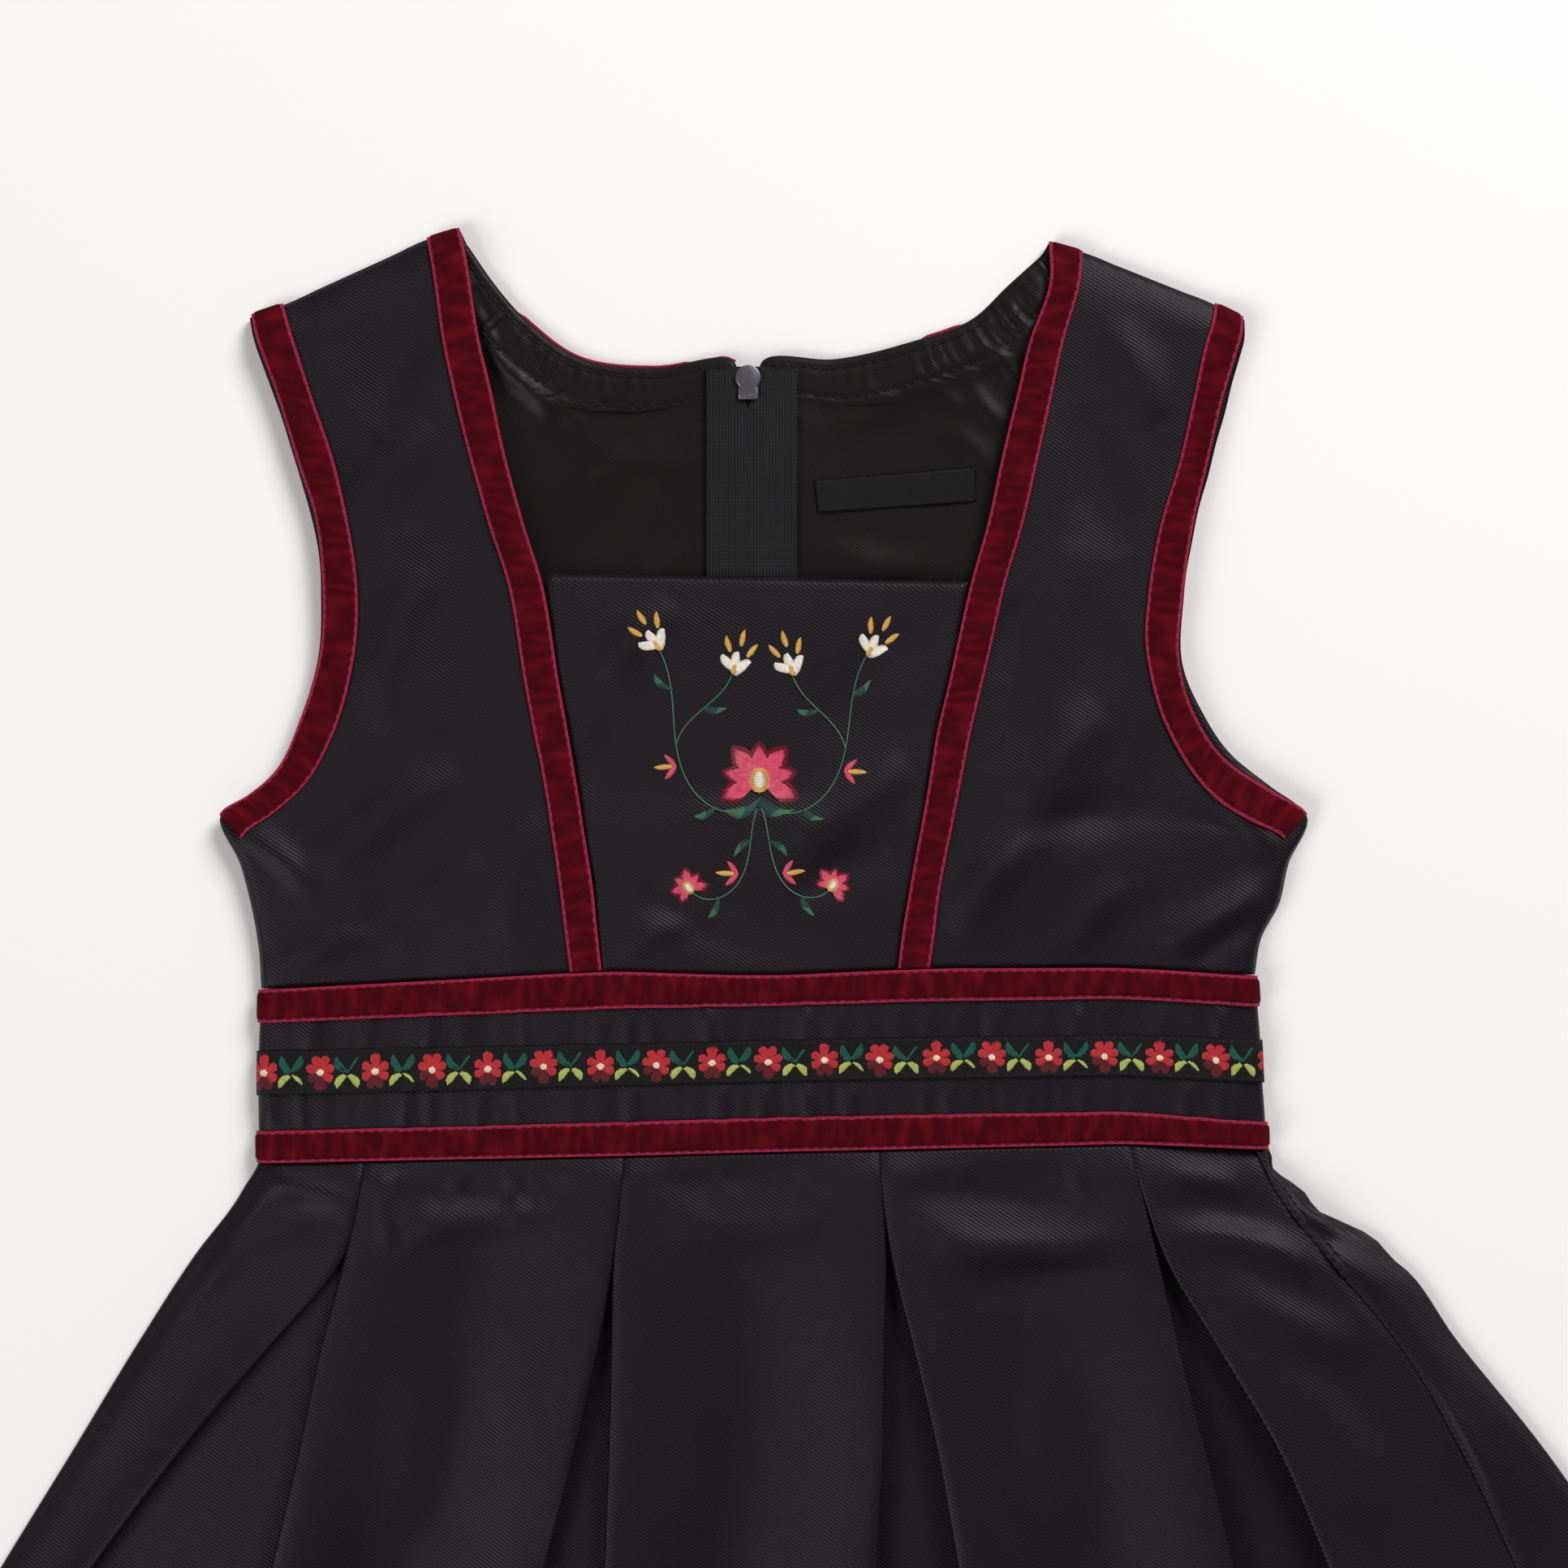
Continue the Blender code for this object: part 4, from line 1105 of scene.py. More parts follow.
def measured(surface: Surface) -> tuple[Flat, float]:
    """Flat size and area of a cloth, in metres.

    Args:
        surface: The cloth.

    Returns:
        Its greatest width and length, and its area.
    """
    across = np.linalg.norm(np.diff(surface.points, axis=1), axis=2)
    along = np.linalg.norm(np.diff(surface.points, axis=0), axis=2)
    sides = sorted((float(across.sum(axis=1).max()), float(along.sum(axis=0).max())))
    one = np.diff(surface.points, axis=1)[:-1]
    two = np.diff(surface.points, axis=0)[:, :-1]
    area = float(np.linalg.norm(np.cross(one, two), axis=2).sum())
    flat = (max(sides[0], 10.0) * MM, sides[1] * MM)
    return flat, min(area * MM * MM, flat[0] * flat[1])


@dataclass
class Dresser:
    """Puts pieces on the dress: their body and the CAD node they stand for."""

    wardrobe: Wardrobe
    count: int = 0

    def settle(self, obj: Thing, body: str, nodes: tuple[str, ...]) -> None:
        """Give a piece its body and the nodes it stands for.

        Args:
            obj: The piece.
            body: The body it rides on.
            nodes: Nodes it stands for.
        """
        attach(obj, body)
        if nodes:
            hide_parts(*nodes)
        self.count += 1
        LOG.info("piece %d: %s, %d points", self.count, obj.name, len(obj.data.vertices))

    def cloth(self, name: str, surface: Surface, finish: str, slot: str, held: str, thickness: float = 0.7,
        coords: Array | None = None) -> Thing:
        """A cloth piece that stands for the node of its own name.

        Args:
            name: Its name, and the node's.
            surface: Its middle.
            finish: Its material.
            slot: Not used.
            held: Not used.
            thickness: How thick it is.
            coords: Weave coordinates, or none for the lay-out's own.

        Returns:
            The piece.
        """
        piece = cloth_mesh(name + "_cloth", surface, self.wardrobe.made[finish], thickness, coords)
        flat, area = measured(surface)
        self.settle(piece, DRESS, (name,))
        return piece

    def threads(self, name: str, threads: Threads, finish: str, slot: str = "") -> None:
        """A piece of gathered threads, if there are any."""
        if threads.points:
            self.settle(threads.made(name, self.wardrobe.made[finish]), DRESS, ())


def stitched(threads: Threads, line: Array, length: float, gap: float, width: float = 0.42) -> None:
    """Lay a row of stitches along a line.

    Args:
        threads: Where the stitches are gathered.
        line: Points along the row.
        length: Length of each stitch.
        gap: Gap between two stitches.
        width: Width of the thread.
    """
    run = np.concatenate([[0.0], np.cumsum(np.linalg.norm(np.diff(line, axis=0), axis=1))])
    place = gap
    while place + length < run[-1]:
        at = np.linspace(place, place + length, 4)
        path = np.stack([np.interp(at, run, line[:, k]) for k in range(3)], axis=1)
        threads.lay(list(map(tuple, path.tolist())), width, 0.2)
        place += length + gap


def at_share(surface: Surface, share: float, lift: float) -> Array:
    """Line along a surface at a share of its width, lifted a little.

    Args:
        surface: The surface.
        share: Share of its width.
        lift: How far above it.

    Returns:
        Points of the line.
    """
    spread = np.linspace(0, 1, surface.points.shape[1])
    i = min(int(share * (len(spread) - 1)), len(spread) - 2)
    part = share * (len(spread) - 1) - i
    line = surface.points[:, i] * (1 - part) + surface.points[:, i + 1] * part
    normal = surface.normals()[:, i]
    return line + normal * lift


@dataclass
class VelvetRibbon:
    """Narrow velvet ribbon sewn down along both edges."""

    name: str
    bed: Surface
    lift: float
    seed: int
    reach: float = 0.0
    peeks: tuple[Flat, ...] = ()
    pile: float = 0.45
    selvedge: float = 0.95
    step: float = 1.0
    columns: int = 17

    def build(self) -> tuple[Surface, Array]:
        """Make its surface.

        Returns:
            The surface, and its coordinates along, across and half width.
        """
        out = self.bed.moved(self.lift).points
        knots, places, _ = divided(np.linalg.norm(np.diff(out, axis=0), axis=2).mean(axis=1), self.step)
        fine = smooth(knots, out, places)
        shares = (1 - np.cos(np.linspace(0, math.pi, self.columns))) / 2
        shares = 0.55 * shares + 0.45 * np.linspace(0, 1, self.columns)
        width = np.linalg.norm(np.diff(fine, axis=1), axis=2).cumsum(axis=1)
        width = np.concatenate([np.zeros((len(fine), 1)), width], axis=1)
        rows = []
        peek = self.peeking(fine[:, -1, 0])
        for row, run, reach in zip(fine, width, peek):
            goal = shares * (run[-1] + reach)
            points = np.stack([np.interp(goal, run, row[:, k]) for k in range(3)], axis=1)
            edge = row[-1] - row[-2]
            over = np.maximum(goal - run[-1], 0.0)[:, None]
            rows.append(points + edge / np.linalg.norm(edge) * over)
        made = Surface(np.array(rows), [0, len(rows) - 1], [0, self.columns - 1])
        half = (width[:, -1:] + peek[:, None]) / 2
        across = shares[None, :] * 2 * half - half
        along = np.repeat(places[:, None], self.columns, axis=1)
        inner = np.clip((half - self.selvedge - np.abs(across)) / 0.5, 0, 1)
        rise = inner * inner * (3 - 2 * inner)
        high = self.pile * rise + self.puckers(along, across / half) * rise
        high += 0.12 * np.clip((np.abs(across) - half + 0.5) / 0.5, 0, 1)
        sign = math.copysign(1.0, self.lift)
        made.points = made.points + made.normals() * (high * sign)[..., None]
        half = np.repeat(half, self.columns, axis=1)
        return made, np.stack([along, across, half], axis=-1)

    def peeking(self, x: Array) -> Array:
        """How far the ribbon goes past the cloth's edge at each place.

        Args:
            x: Places across the dress.

        Returns:
            How far, at each place.
        """
        if not self.peeks:
            return np.zeros_like(x)
        shown = sum(np.clip(np.minimum(x - low, high - x) / 4 + 0.5, 0, 1) for low, high in self.peeks)
        return -0.5 + (self.reach + 0.5) * shown

    def puckers(self, along: Array, share: Array) -> Array:
        """Uneven ridges across the pile, pulled in by the seams.

        Args:
            along: Place along the ribbon.
            share: Place across it, -1 to 1.

        Returns:
            Their height.
        """
        draw = np.random.default_rng(self.seed)
        total = np.zeros_like(along)
        place, last = draw.uniform(0, 4), float(along.max())
        while place < last:
            slant, width = draw.uniform(-1.6, 1.6), draw.uniform(0.9, 2.2)
            side = draw.uniform(-0.5, 0.5)
            shape = np.exp(-(((along - place - slant * share) / width) ** 2))
            total += draw.uniform(-0.28, 0.4) * shape * np.exp(-(((share - side) / 0.75) ** 2))
            place += draw.uniform(3.0, 7.5)
        return total

    def dress(self, dresser: Dresser, seams: Threads) -> Surface:
        """Make the ribbon and sew it down.

        Args:
            dresser: Puts it on the dress.
            seams: Where its stitches are gathered.

        Returns:
            Its surface.
        """
        made, coords = self.build()
        dresser.cloth(self.name, made, "velvet", "velvet", "laid", 0.5, coords)
        lift = math.copysign(0.22, self.lift)
        for share in (0.135, 0.865):
            stitched(seams, at_share(made, share, lift), 2.1, 0.7, 0.36)
        return made


# bodice

LEFT_CREASES = tuple(Crease(*row) for row in (
    (-128, 78, -84, 108, 7, 1.95, 3), (-118, 60, -78, 84, 6, -1.5, -2), (-138, 52, -108, 62, 4, 1.35, 2),
    (-108, 118, -96, 168, 6, 1.35, 4), (-92, 98, -84, 150, 7, -1.35, -3), (-120, 172, -92, 206, 8, 1.65, 4),
    (-112, 206, -96, 236, 7, -1.2, 2), (-72, 58, -66, 96, 5, 1.35, 2), (-150, 92, -128, 74, 3.5, 1.8, 2),
    (-104, 56, -96, 74, 4, 1.05, 1),
))
RIGHT_CREASES = tuple(Crease(*row) for row in (
    (54, 60, 92, 104, 7, 2.85, 5), (60, 84, 104, 96, 6, -1.95, 4), (66, 100, 96, 128, 7, 1.95, -4),
    (112, 60, 142, 76, 5, 2.4, -3), (122, 52, 140, 66, 3.5, -1.65, 2), (124, 104, 146, 82, 4, 1.95, 3),
    (88, 58, 104, 76, 5, 1.35, 2), (82, 118, 90, 176, 7, 1.2, 4), (104, 168, 92, 214, 8, -1.35, 3),
    (112, 206, 98, 236, 6, 1.5, -2), (68, 132, 76, 158, 5, -1.2, 2),
))
CENTRE_CREASES = tuple(Crease(*row) for row in (
    (-46, 132, -24, 156, 6, 1.35, 3), (-36, 76, 14, 58, 6, -1.8, -4), (-30, 94, 26, 84, 6, 1.65, 5),
    (6, 92, 42, 112, 7, 1.95, -4), (10, 72, 38, 84, 5, -1.8, 3), (-40, 56, -18, 66, 4, 1.2, 2),
    (20, 120, 46, 148, 7, -1.35, 3), (-50, 100, -38, 124, 5, -1.05, 2),
))


@dataclass
class BodiceFront:
    """Front of the bodice: two sides, the centre panel, and four velvet ribbons."""

    tables: dict[Hand, list[SideRow]] = field(default_factory=lambda: {Hand.LEFT: FRONT_LEFT, Hand.RIGHT: FRONT_RIGHT})
    step: float = 1.8
    unevenness: float = 0.5
    top: float = 164.2
    seams: Threads = field(default_factory=Threads)
    centre: Surface | None = None

    def side(self, hand: Hand) -> Surface:
        """A side panel with its creases.

        Args:
            hand: Which side.

        Returns:
            The panel.
        """
        flat = Surface.through(side_table(self.tables[hand]), self.step)
        creases = LEFT_CREASES if hand is Hand.LEFT else RIGHT_CREASES
        made = creased(flat, creases, self.unevenness, 62, SEED + len(creases), -1.2)
        made.points[-1, :, 2] -= 0.45
        return made

    def middle(self) -> Surface:
        """The centre panel with its creases.

        Returns:
            The panel.
        """
        rows = []
        for left, right in zip(FRONT_LEFT[: NECKLINE_ROW + 1], FRONT_RIGHT[: NECKLINE_ROW + 1]):
            start = (left.neck[0] + GAP, left.neck[1], left.heights[4])
            end = (right.neck[0] - GAP, right.neck[1], right.heights[4])
            rows.append([[a + (b - a) * k / 6 for a, b in zip(start, end)] for k in range(7)])
        rows[0] = [[x, band_y(BAND[5], x) + SEAM_GAP, z] for x, _, z in rows[0]]
        rows[-1] = [[x, self.top - 0.4 * k, z] for k, (x, _, z) in enumerate(rows[-1])]
        flat = Surface.through(np.array(rows), self.step)
        made = creased(flat, CENTRE_CREASES, 0.4, 48, SEED + 5, -1.2)
        made.points[-1, :, 2] -= 0.3
        return made

    def dress(self, dresser: Dresser) -> None:
        """Make the panels and their ribbons.

        Args:
            dresser: Puts them on the dress.
        """
        self.centre = self.middle()
        dresser.cloth("front_center", self.centre, "twill", "twill", "laid")
        for hand in Hand:
            panel = self.side(hand)
            last = len(self.tables[hand]) - 1
            dresser.cloth(f"front_side_{hand.value}", panel, "twill", "twill", "laid")
            neck = panel.block((0, last), (7, 8))
            VelvetRibbon(f"neck_velvet_front_{hand.value}", neck, 0.85, SEED + 11).dress(dresser, self.seams)
            armhole = panel.block((ARMHOLE_FROM, last), (0, 3))
            VelvetRibbon(f"armhole_velvet_front_{hand.value}", armhole, 0.85, SEED + 12).dress(dresser, self.seams)
        dresser.threads("front_ribbon_stitches", self.seams, "thread_velvet", "velvet")


NECK_PEEKS = ((-70, -20), (-15, -6), (45, 57))
LINING_CREASES = tuple(Crease(*row) for row in (
    (-58, 178, -26, 205, 6, 1.2, 4), (-62, 168, -24, 182, 5, -0.9, 3), (-52, 200, -20, 196, 5, 0.9, -3),
    (-44, 150, -20, 172, 5, 1.0, 2), (-74, 222, -60, 206, 3, 1.1, 2), (-80, 232, -66, 216, 2.4, 1.0, -1),
    (-66, 214, -50, 204, 3, 0.9, 2), (-84, 240, -74, 226, 2.4, 0.9, 1), (20, 204, 46, 212, 5, 0.9, 3),
    (16, 172, 48, 168, 5, 1.1, -3), (52, 206, 66, 190, 4, 1.0, 2), (58, 222, 70, 206, 3, 1.1, -2),
    (64, 230, 74, 216, 2.4, 1.1, 1), (70, 240, 78, 226, 2.4, 0.9, 1), (46, 218, 60, 208, 3, 0.8, 1),
    (24, 150, 54, 160, 5, -0.9, 2),
))


@dataclass
class BodiceBack:
    """Back of the bodice: two halves open at the zip, their ribbons and the lining."""

    tables: dict[Hand, list[SideRow]] = field(default_factory=lambda: {Hand.LEFT: BACK_LEFT, Hand.RIGHT: BACK_RIGHT})
    step: float = 2.0
    seams: Threads = field(default_factory=Threads)
    hems: Threads = field(default_factory=Threads)
    linings: dict[Hand, Surface] = field(default_factory=dict)

    def half(self, hand: Hand) -> Surface:
        """A half of the back.

        Args:
            hand: Which half.

        Returns:
            The cloth.
        """
        flat = Surface.through(side_table(self.tables[hand]), self.step)
        made = creased(flat, (), 0.1, 50, SEED + 21)
        return made

    def lining(self, hand: Hand) -> Surface:
        """Lining of a half, puckered along its neckline.

        Args:
            hand: Which half.

        Returns:
            The lining.
        """
        table = side_table(self.tables[hand])
        coarse = Surface(table, [], []).moved(LAYER - 0.15).points[LINING_FROM : LINING_TO + 1, 4:]
        fine = Surface.through(coarse, 1.0)
        made = creased(fine, LINING_CREASES, 0.22, 26, SEED + 22, -0.2)
        x, y = made.points[..., 0], made.points[..., 1]
        inward = np.linalg.norm(made.points - made.points[:, -1:], axis=2)
        if hand is Hand.LEFT:
            shoulder = np.clip((-x - 20) / 40, 0.15, 1)
        else:
            shoulder = np.clip((x - 20) / 40, 0.15, 1)
        neck = np.clip((y - 196) / 12, 0, 1)
        rows = np.concatenate([[0], np.cumsum(np.linalg.norm(np.diff(made.points[:, -1], axis=0), axis=1))])
        ripple = np.sin(rows / 0.55 + 4.2 * np.sin(rows / 4.3) + 2 * np.sin(rows / 1.9))[:, None]
        ripple = ripple + 0.8 * waves(x, y, 5.0, SEED + 23)
        made.points[..., 2] += 0.5 * ripple * np.exp(-(((inward - 8) / 5.5) ** 2)) * shoulder * neck
        for row in (2.6, 11.4):
            made.points[..., 2] -= 0.28 * np.exp(-(((inward - row) / 0.9) ** 2)) * neck
        made.points[:, -1, 2] -= 0.7
        made.points[:, -2, 2] -= 0.15
        return made

    def stitch_rows(self, lining: Surface) -> None:
        """Two rows of stitches along the neckline.

        Args:
            lining: The lining.
        """
        points = lining.points
        inward = np.linalg.norm(points - points[:, -1:], axis=2)
        for row, y_from in ((2.6, 214), (11.4, 204)):
            line = []
            for ring, run in zip(points, inward):
                if ring[-1, 1] < y_from + 8:
                    continue
                place = [np.interp(row, run[::-1], ring[::-1, k]) for k in range(3)]
                line.append((place[0], place[1], place[2] + 0.42))
            if len(line) > 3:
                stitched(self.hems, np.array(line), 2.0, 0.9, 0.34)

    def dress(self, dresser: Dresser) -> None:
        """Make the halves, their ribbons and the lining.

        Args:
            dresser: Puts them on the dress.
        """
        for hand in Hand:
            half = self.half(hand)
            last = len(self.tables[hand]) - 1
            dresser.cloth(f"back_{hand.value}", half, "twill", "twill", "laid")
            neck = half.block((NECK_FROM, last), (7, 8))
            ribbon = VelvetRibbon(f"neck_velvet_back_{hand.value}", neck, -0.85, SEED + 13, 0.8, NECK_PEEKS, 0.3)
            ribbon.dress(dresser, self.seams)
            armhole = half.block((ARMHOLE_FROM, last), (0, 3))
            ribbon = VelvetRibbon(f"armhole_velvet_back_{hand.value}", armhole, -0.85, SEED + 14, pile=0.3)
            ribbon.dress(dresser, self.seams)
            lining = self.lining(hand)
            dresser.cloth(f"lining_{hand.value}", lining, "lining", "lining", "laid", 0.4)
            self.stitch_rows(lining)
            self.linings[hand] = lining
        dresser.threads("back_ribbon_stitches", self.seams, "thread_velvet", "velvet")
        dresser.threads("neckline_stitches", self.hems, "thread_black", "lining")


# waistband


@dataclass
class Waistband:
    """Band round the waist with two velvet ribbons and a woven one, in three pieces."""

    step: float = 1.4
    pucker: float = 0.7
    seams: Threads = field(default_factory=Threads)
    edges: Threads = field(default_factory=Threads)
    woven: dict[str, Surface] = field(default_factory=dict)

    def across(self, line: BandLine, piece: str) -> list[Point]:
        """Points along a line of a piece, both ends rolled or cut at the zip.

        Args:
            line: The line.
            piece: Which piece: front, back_left or back_right.

        Returns:
            Its points.
        """
        high = BAND_FRONT_Z if piece == "front" else BAND_BACK_Z
        start = RIGHT_SLIT if piece == "back_right" else line.left_x
        end = LEFT_SLIT if piece == "back_left" else line.right_x
        left = [(start + step, z) for step, z in zip(ROLL, high)]
        right = [(end - step, z) for step, z in zip(ROLL, high)][::-1]
        if piece == "back_right":
            left = [(start, high[-1])]
        if piece == "back_left":
            right = [(end, high[-1])]
        low, top = left[-1][0], right[0][0]
        count = 17 if piece == "front" else 8
        inner = [(low + (top - low) * k / count, high[-1]) for k in range(1, count)]
        return [(x, band_y(line, x), z) for x, z in left + inner + right]

    def build(self, piece: str) -> Surface:
        """The band of a piece, puckered.

        Args:
            piece: Which piece.

        Returns:
            Its surface.
        """
        table = np.array([self.across(line, piece) for line in BAND])
        flat = Surface.through(table, self.step, 1.1)
        draw = np.random.default_rng(SEED + 31)
        x, y = flat.points[..., 0], flat.points[..., 1]
        lift = 0.12 * waves(x, y, 40, SEED + 32)
        amount = self.pucker if piece == "front" else self.pucker * 0.4
        for low, top in ((5.8, 15.9), (28.5, 36.6)):
            middle = (low + top) / 2 + 2.5
            place = -140.0
            while place < 140:
                width = draw.uniform(0.9, 2.4)
                at = place + draw.uniform(-0.12, 0.12) * (y - middle)
                ridge = np.exp(-(((x - at) / width) ** 2)) * np.exp(-(((y - middle) / 6.0) ** 4))
                lift = lift + draw.uniform(-0.8, 1.6) * amount * ridge
                place += draw.uniform(3.2, 9.0)
        flat.points[..., 2] += np.maximum(lift, -0.3)
        return flat

    def dress(self, dresser: Dresser) -> None:
        """Make the band's pieces and their ribbons.

        Args:
            dresser: Puts them on the dress.
        """
        for number, piece in enumerate(("front", "back_left", "back_right")):
            band = self.build(piece)
            dresser.cloth(f"waistband_{piece}", band, "twill", "twill", "laid")
            sign = 1.0 if piece == "front" else -1.0
            turned = Surface(np.swapaxes(band.points, 0, 1), band.columns, band.rows)
            last = len(band.columns) - 1
            for trim, line in (("waist_velvet_lower", 0), ("waist_velvet_upper", 4)):
                bed = turned.block((0, last), (line, line + 1))
                pile = 0.45 if piece == "front" else 0.3
                ribbon = VelvetRibbon(f"{trim}_{piece}", bed, 0.85 * sign, SEED + 40 + number + line, pile=pile)
                ribbon.dress(dresser, self.seams)
            bed = turned.block((0, last), (2, 3)).moved(0.8 * sign)
            bed = Surface.through(bed.points, 0.9, 1.2)
            self.weave_ribbon(dresser, bed, piece)
        dresser.threads("waist_ribbon_stitches", self.seams, "thread_velvet", "velvet")
        dresser.threads("woven_ribbon_stitches", self.edges, "thread_black", "jacquard")

    def weave_ribbon(self, dresser: Dresser, bed: Surface, piece: str) -> None:
        """The woven ribbon of a piece, without its flowers.

        Args:
            dresser: Puts it on the dress.
            bed: Its surface.
            piece: Which piece.
        """
        run = np.linalg.norm(np.diff(bed.points, axis=0), axis=2).mean(axis=1)
        along = np.concatenate([[0.0], np.cumsum(run)])
        draw = np.random.default_rng(SEED + 33)
        for _ in range(14):
            at, width = draw.uniform(0, along[-1]), draw.uniform(1.5, 4)
            bed.points[..., 2] += draw.uniform(-0.12, 0.2) * np.exp(-(((along - at) / width) ** 2))[:, None]
        across = np.linspace(-6.2, 6.2, bed.points.shape[1])
        coords = np.stack(np.broadcast_arrays(along[:, None], across[None, :], 0.0), axis=-1)
        dresser.cloth(f"jacquard_ribbon_{piece}", bed, "jacquard_ground", "jacquard", "laid", 0.45, coords)
        sign = 1.0 if piece == "front" else -1.0
        for share in (0.07, 0.93):
            stitched(self.edges, at_share(bed, share, 0.22 * sign), 2.0, 0.6, 0.34)
        self.woven[piece] = bed


# skirt


@dataclass
class Path:
    """Places across a row of the skirt, one after another."""

    places: list[Flat] = field(default_factory=list)
    crown: list[float] = field(default_factory=list)

    def run(self, x: float, z: float, count: int, sag: float = 0.0, crown: float = 0.0) -> None:
        """Go straight to a place, sinking by sag halfway.

        Args:
            x: Where to.
            z: How high.
            count: Steps.
            sag: How far the middle sinks.
            crown: How freely the steps may rise.
        """
        x0, z0 = self.places[-1]
        for k in range(1, count + 1):
            t = k / count
            side = 1 - abs(2 * t - 1)
            drop = sag * side * side * (3 - 2 * side)
            self.places.append((x0 + (x - x0) * t, z0 + (z - z0) * t - drop))
            self.crown.append(crown)

    def turn(self, z: float, out: int, count: int = 4, crown: float = 0.0) -> None:
        """Fold over to another height, bulging to the right (1) or the left (-1).

        Args:
            z: How high.
            out: 1 for the right, -1 for the left.
            count: Steps.
            crown: How freely the steps may rise.
        """
        x0, z0 = self.places[-1]
        radius = abs(z - z0) / 2
        for k in range(1, count + 1):
            t = math.pi * k / count
            self.places.append((x0 + out * radius * math.sin(t), z0 + (z - z0) * (1 - math.cos(t)) / 2))
            self.crown.append(crown)


SKIRT_CREASES = tuple(Crease(*row) for row in (
    (-140, -9, -118, -14, 3, 1.92, 1), (-150, -30, -126, -16, 5, -1.44, 2), (-168, -46, -140, -26, 5, 1.6, 3),
    (-108, -5, -106, -26, 2.2, 1.44), (-98, -13, -52, -9, 4.5, -1.76, -2), (-104, -24, -62, -18, 6, 2.4, 3),
    (-71, -4, -69, -19, 2.0, 1.3), (-66, -4, -62, -20, 1.6, 0.96), (-86, -3, -88, -15, 1.6, 0.96),
    (-92, -42, -56, -38, 8, -1.12, 2), (-98, -60, -104, -112, 9, 1.28, 2), (-76, -50, -86, -115, 8, -1.12, -2),
    (-32, -8, 20, -8, 4, -1.28, 1), (-30, -18, 18, -20, 6, 1.6, -3), (-12, -4, -10, -15, 1.6, 0.96),
    (14, -4, 16, -18, 1.8, 0.96), (-18, -50, -22, -115, 9, 1.12, 2), (10, -44, 14, -112, 9, -0.96, 2),
    (42, -12, 96, -13, 4.5, -2.4, 2), (46, -24, 100, -25, 6, 3.04, -3), (60, -37, 104, -40, 6, -1.6, 2),
    (56, -3, 57, -15, 1.6, 0.96), (88, -3, 92, -17, 1.8, 1.28), (78, -52, 92, -112, 9, 1.28, -2),
    (60, -60, 72, -115, 8, -0.96, 2), (114, -7, 136, -11, 3.6, 1.5, 1), (112, -16, 144, -22, 4.6, -1.5, 2),
    (120, -22, 156, -34, 4.5, 2.88, 3), (132, -38, 172, -56, 6, 1.6, -2), (146, -60, 176, -104, 8, 1.44, 3),
    (166, -120, 200, -260, 16, 2.24, 6), (-120, -170, -146, -400, 18, 2.24, 5), (-20, -160, -14, -400, 16, 2.08, -4),
    (110, -170, 150, -400, 18, 2.4, 6), (-210, -160, -264, -330, 14, 1.76, 4), (30, -240, 60, -410, 12, 1.6, -4),
))
WRAP_CREASES = tuple(Crease(*row) for row in (
    (145, -6, 154, -11, 2.2, 2.4, 0.5), (147, -15, 161, -21, 2.6, 2.8, 0.8), (152, -26, 168, -33, 3.0, 1.6, 1.0),
    (158, -30, 176, -40, 4.0, 1.68, 1.5), (190, -70, 208, -100, 5, 1.12, 2),
))


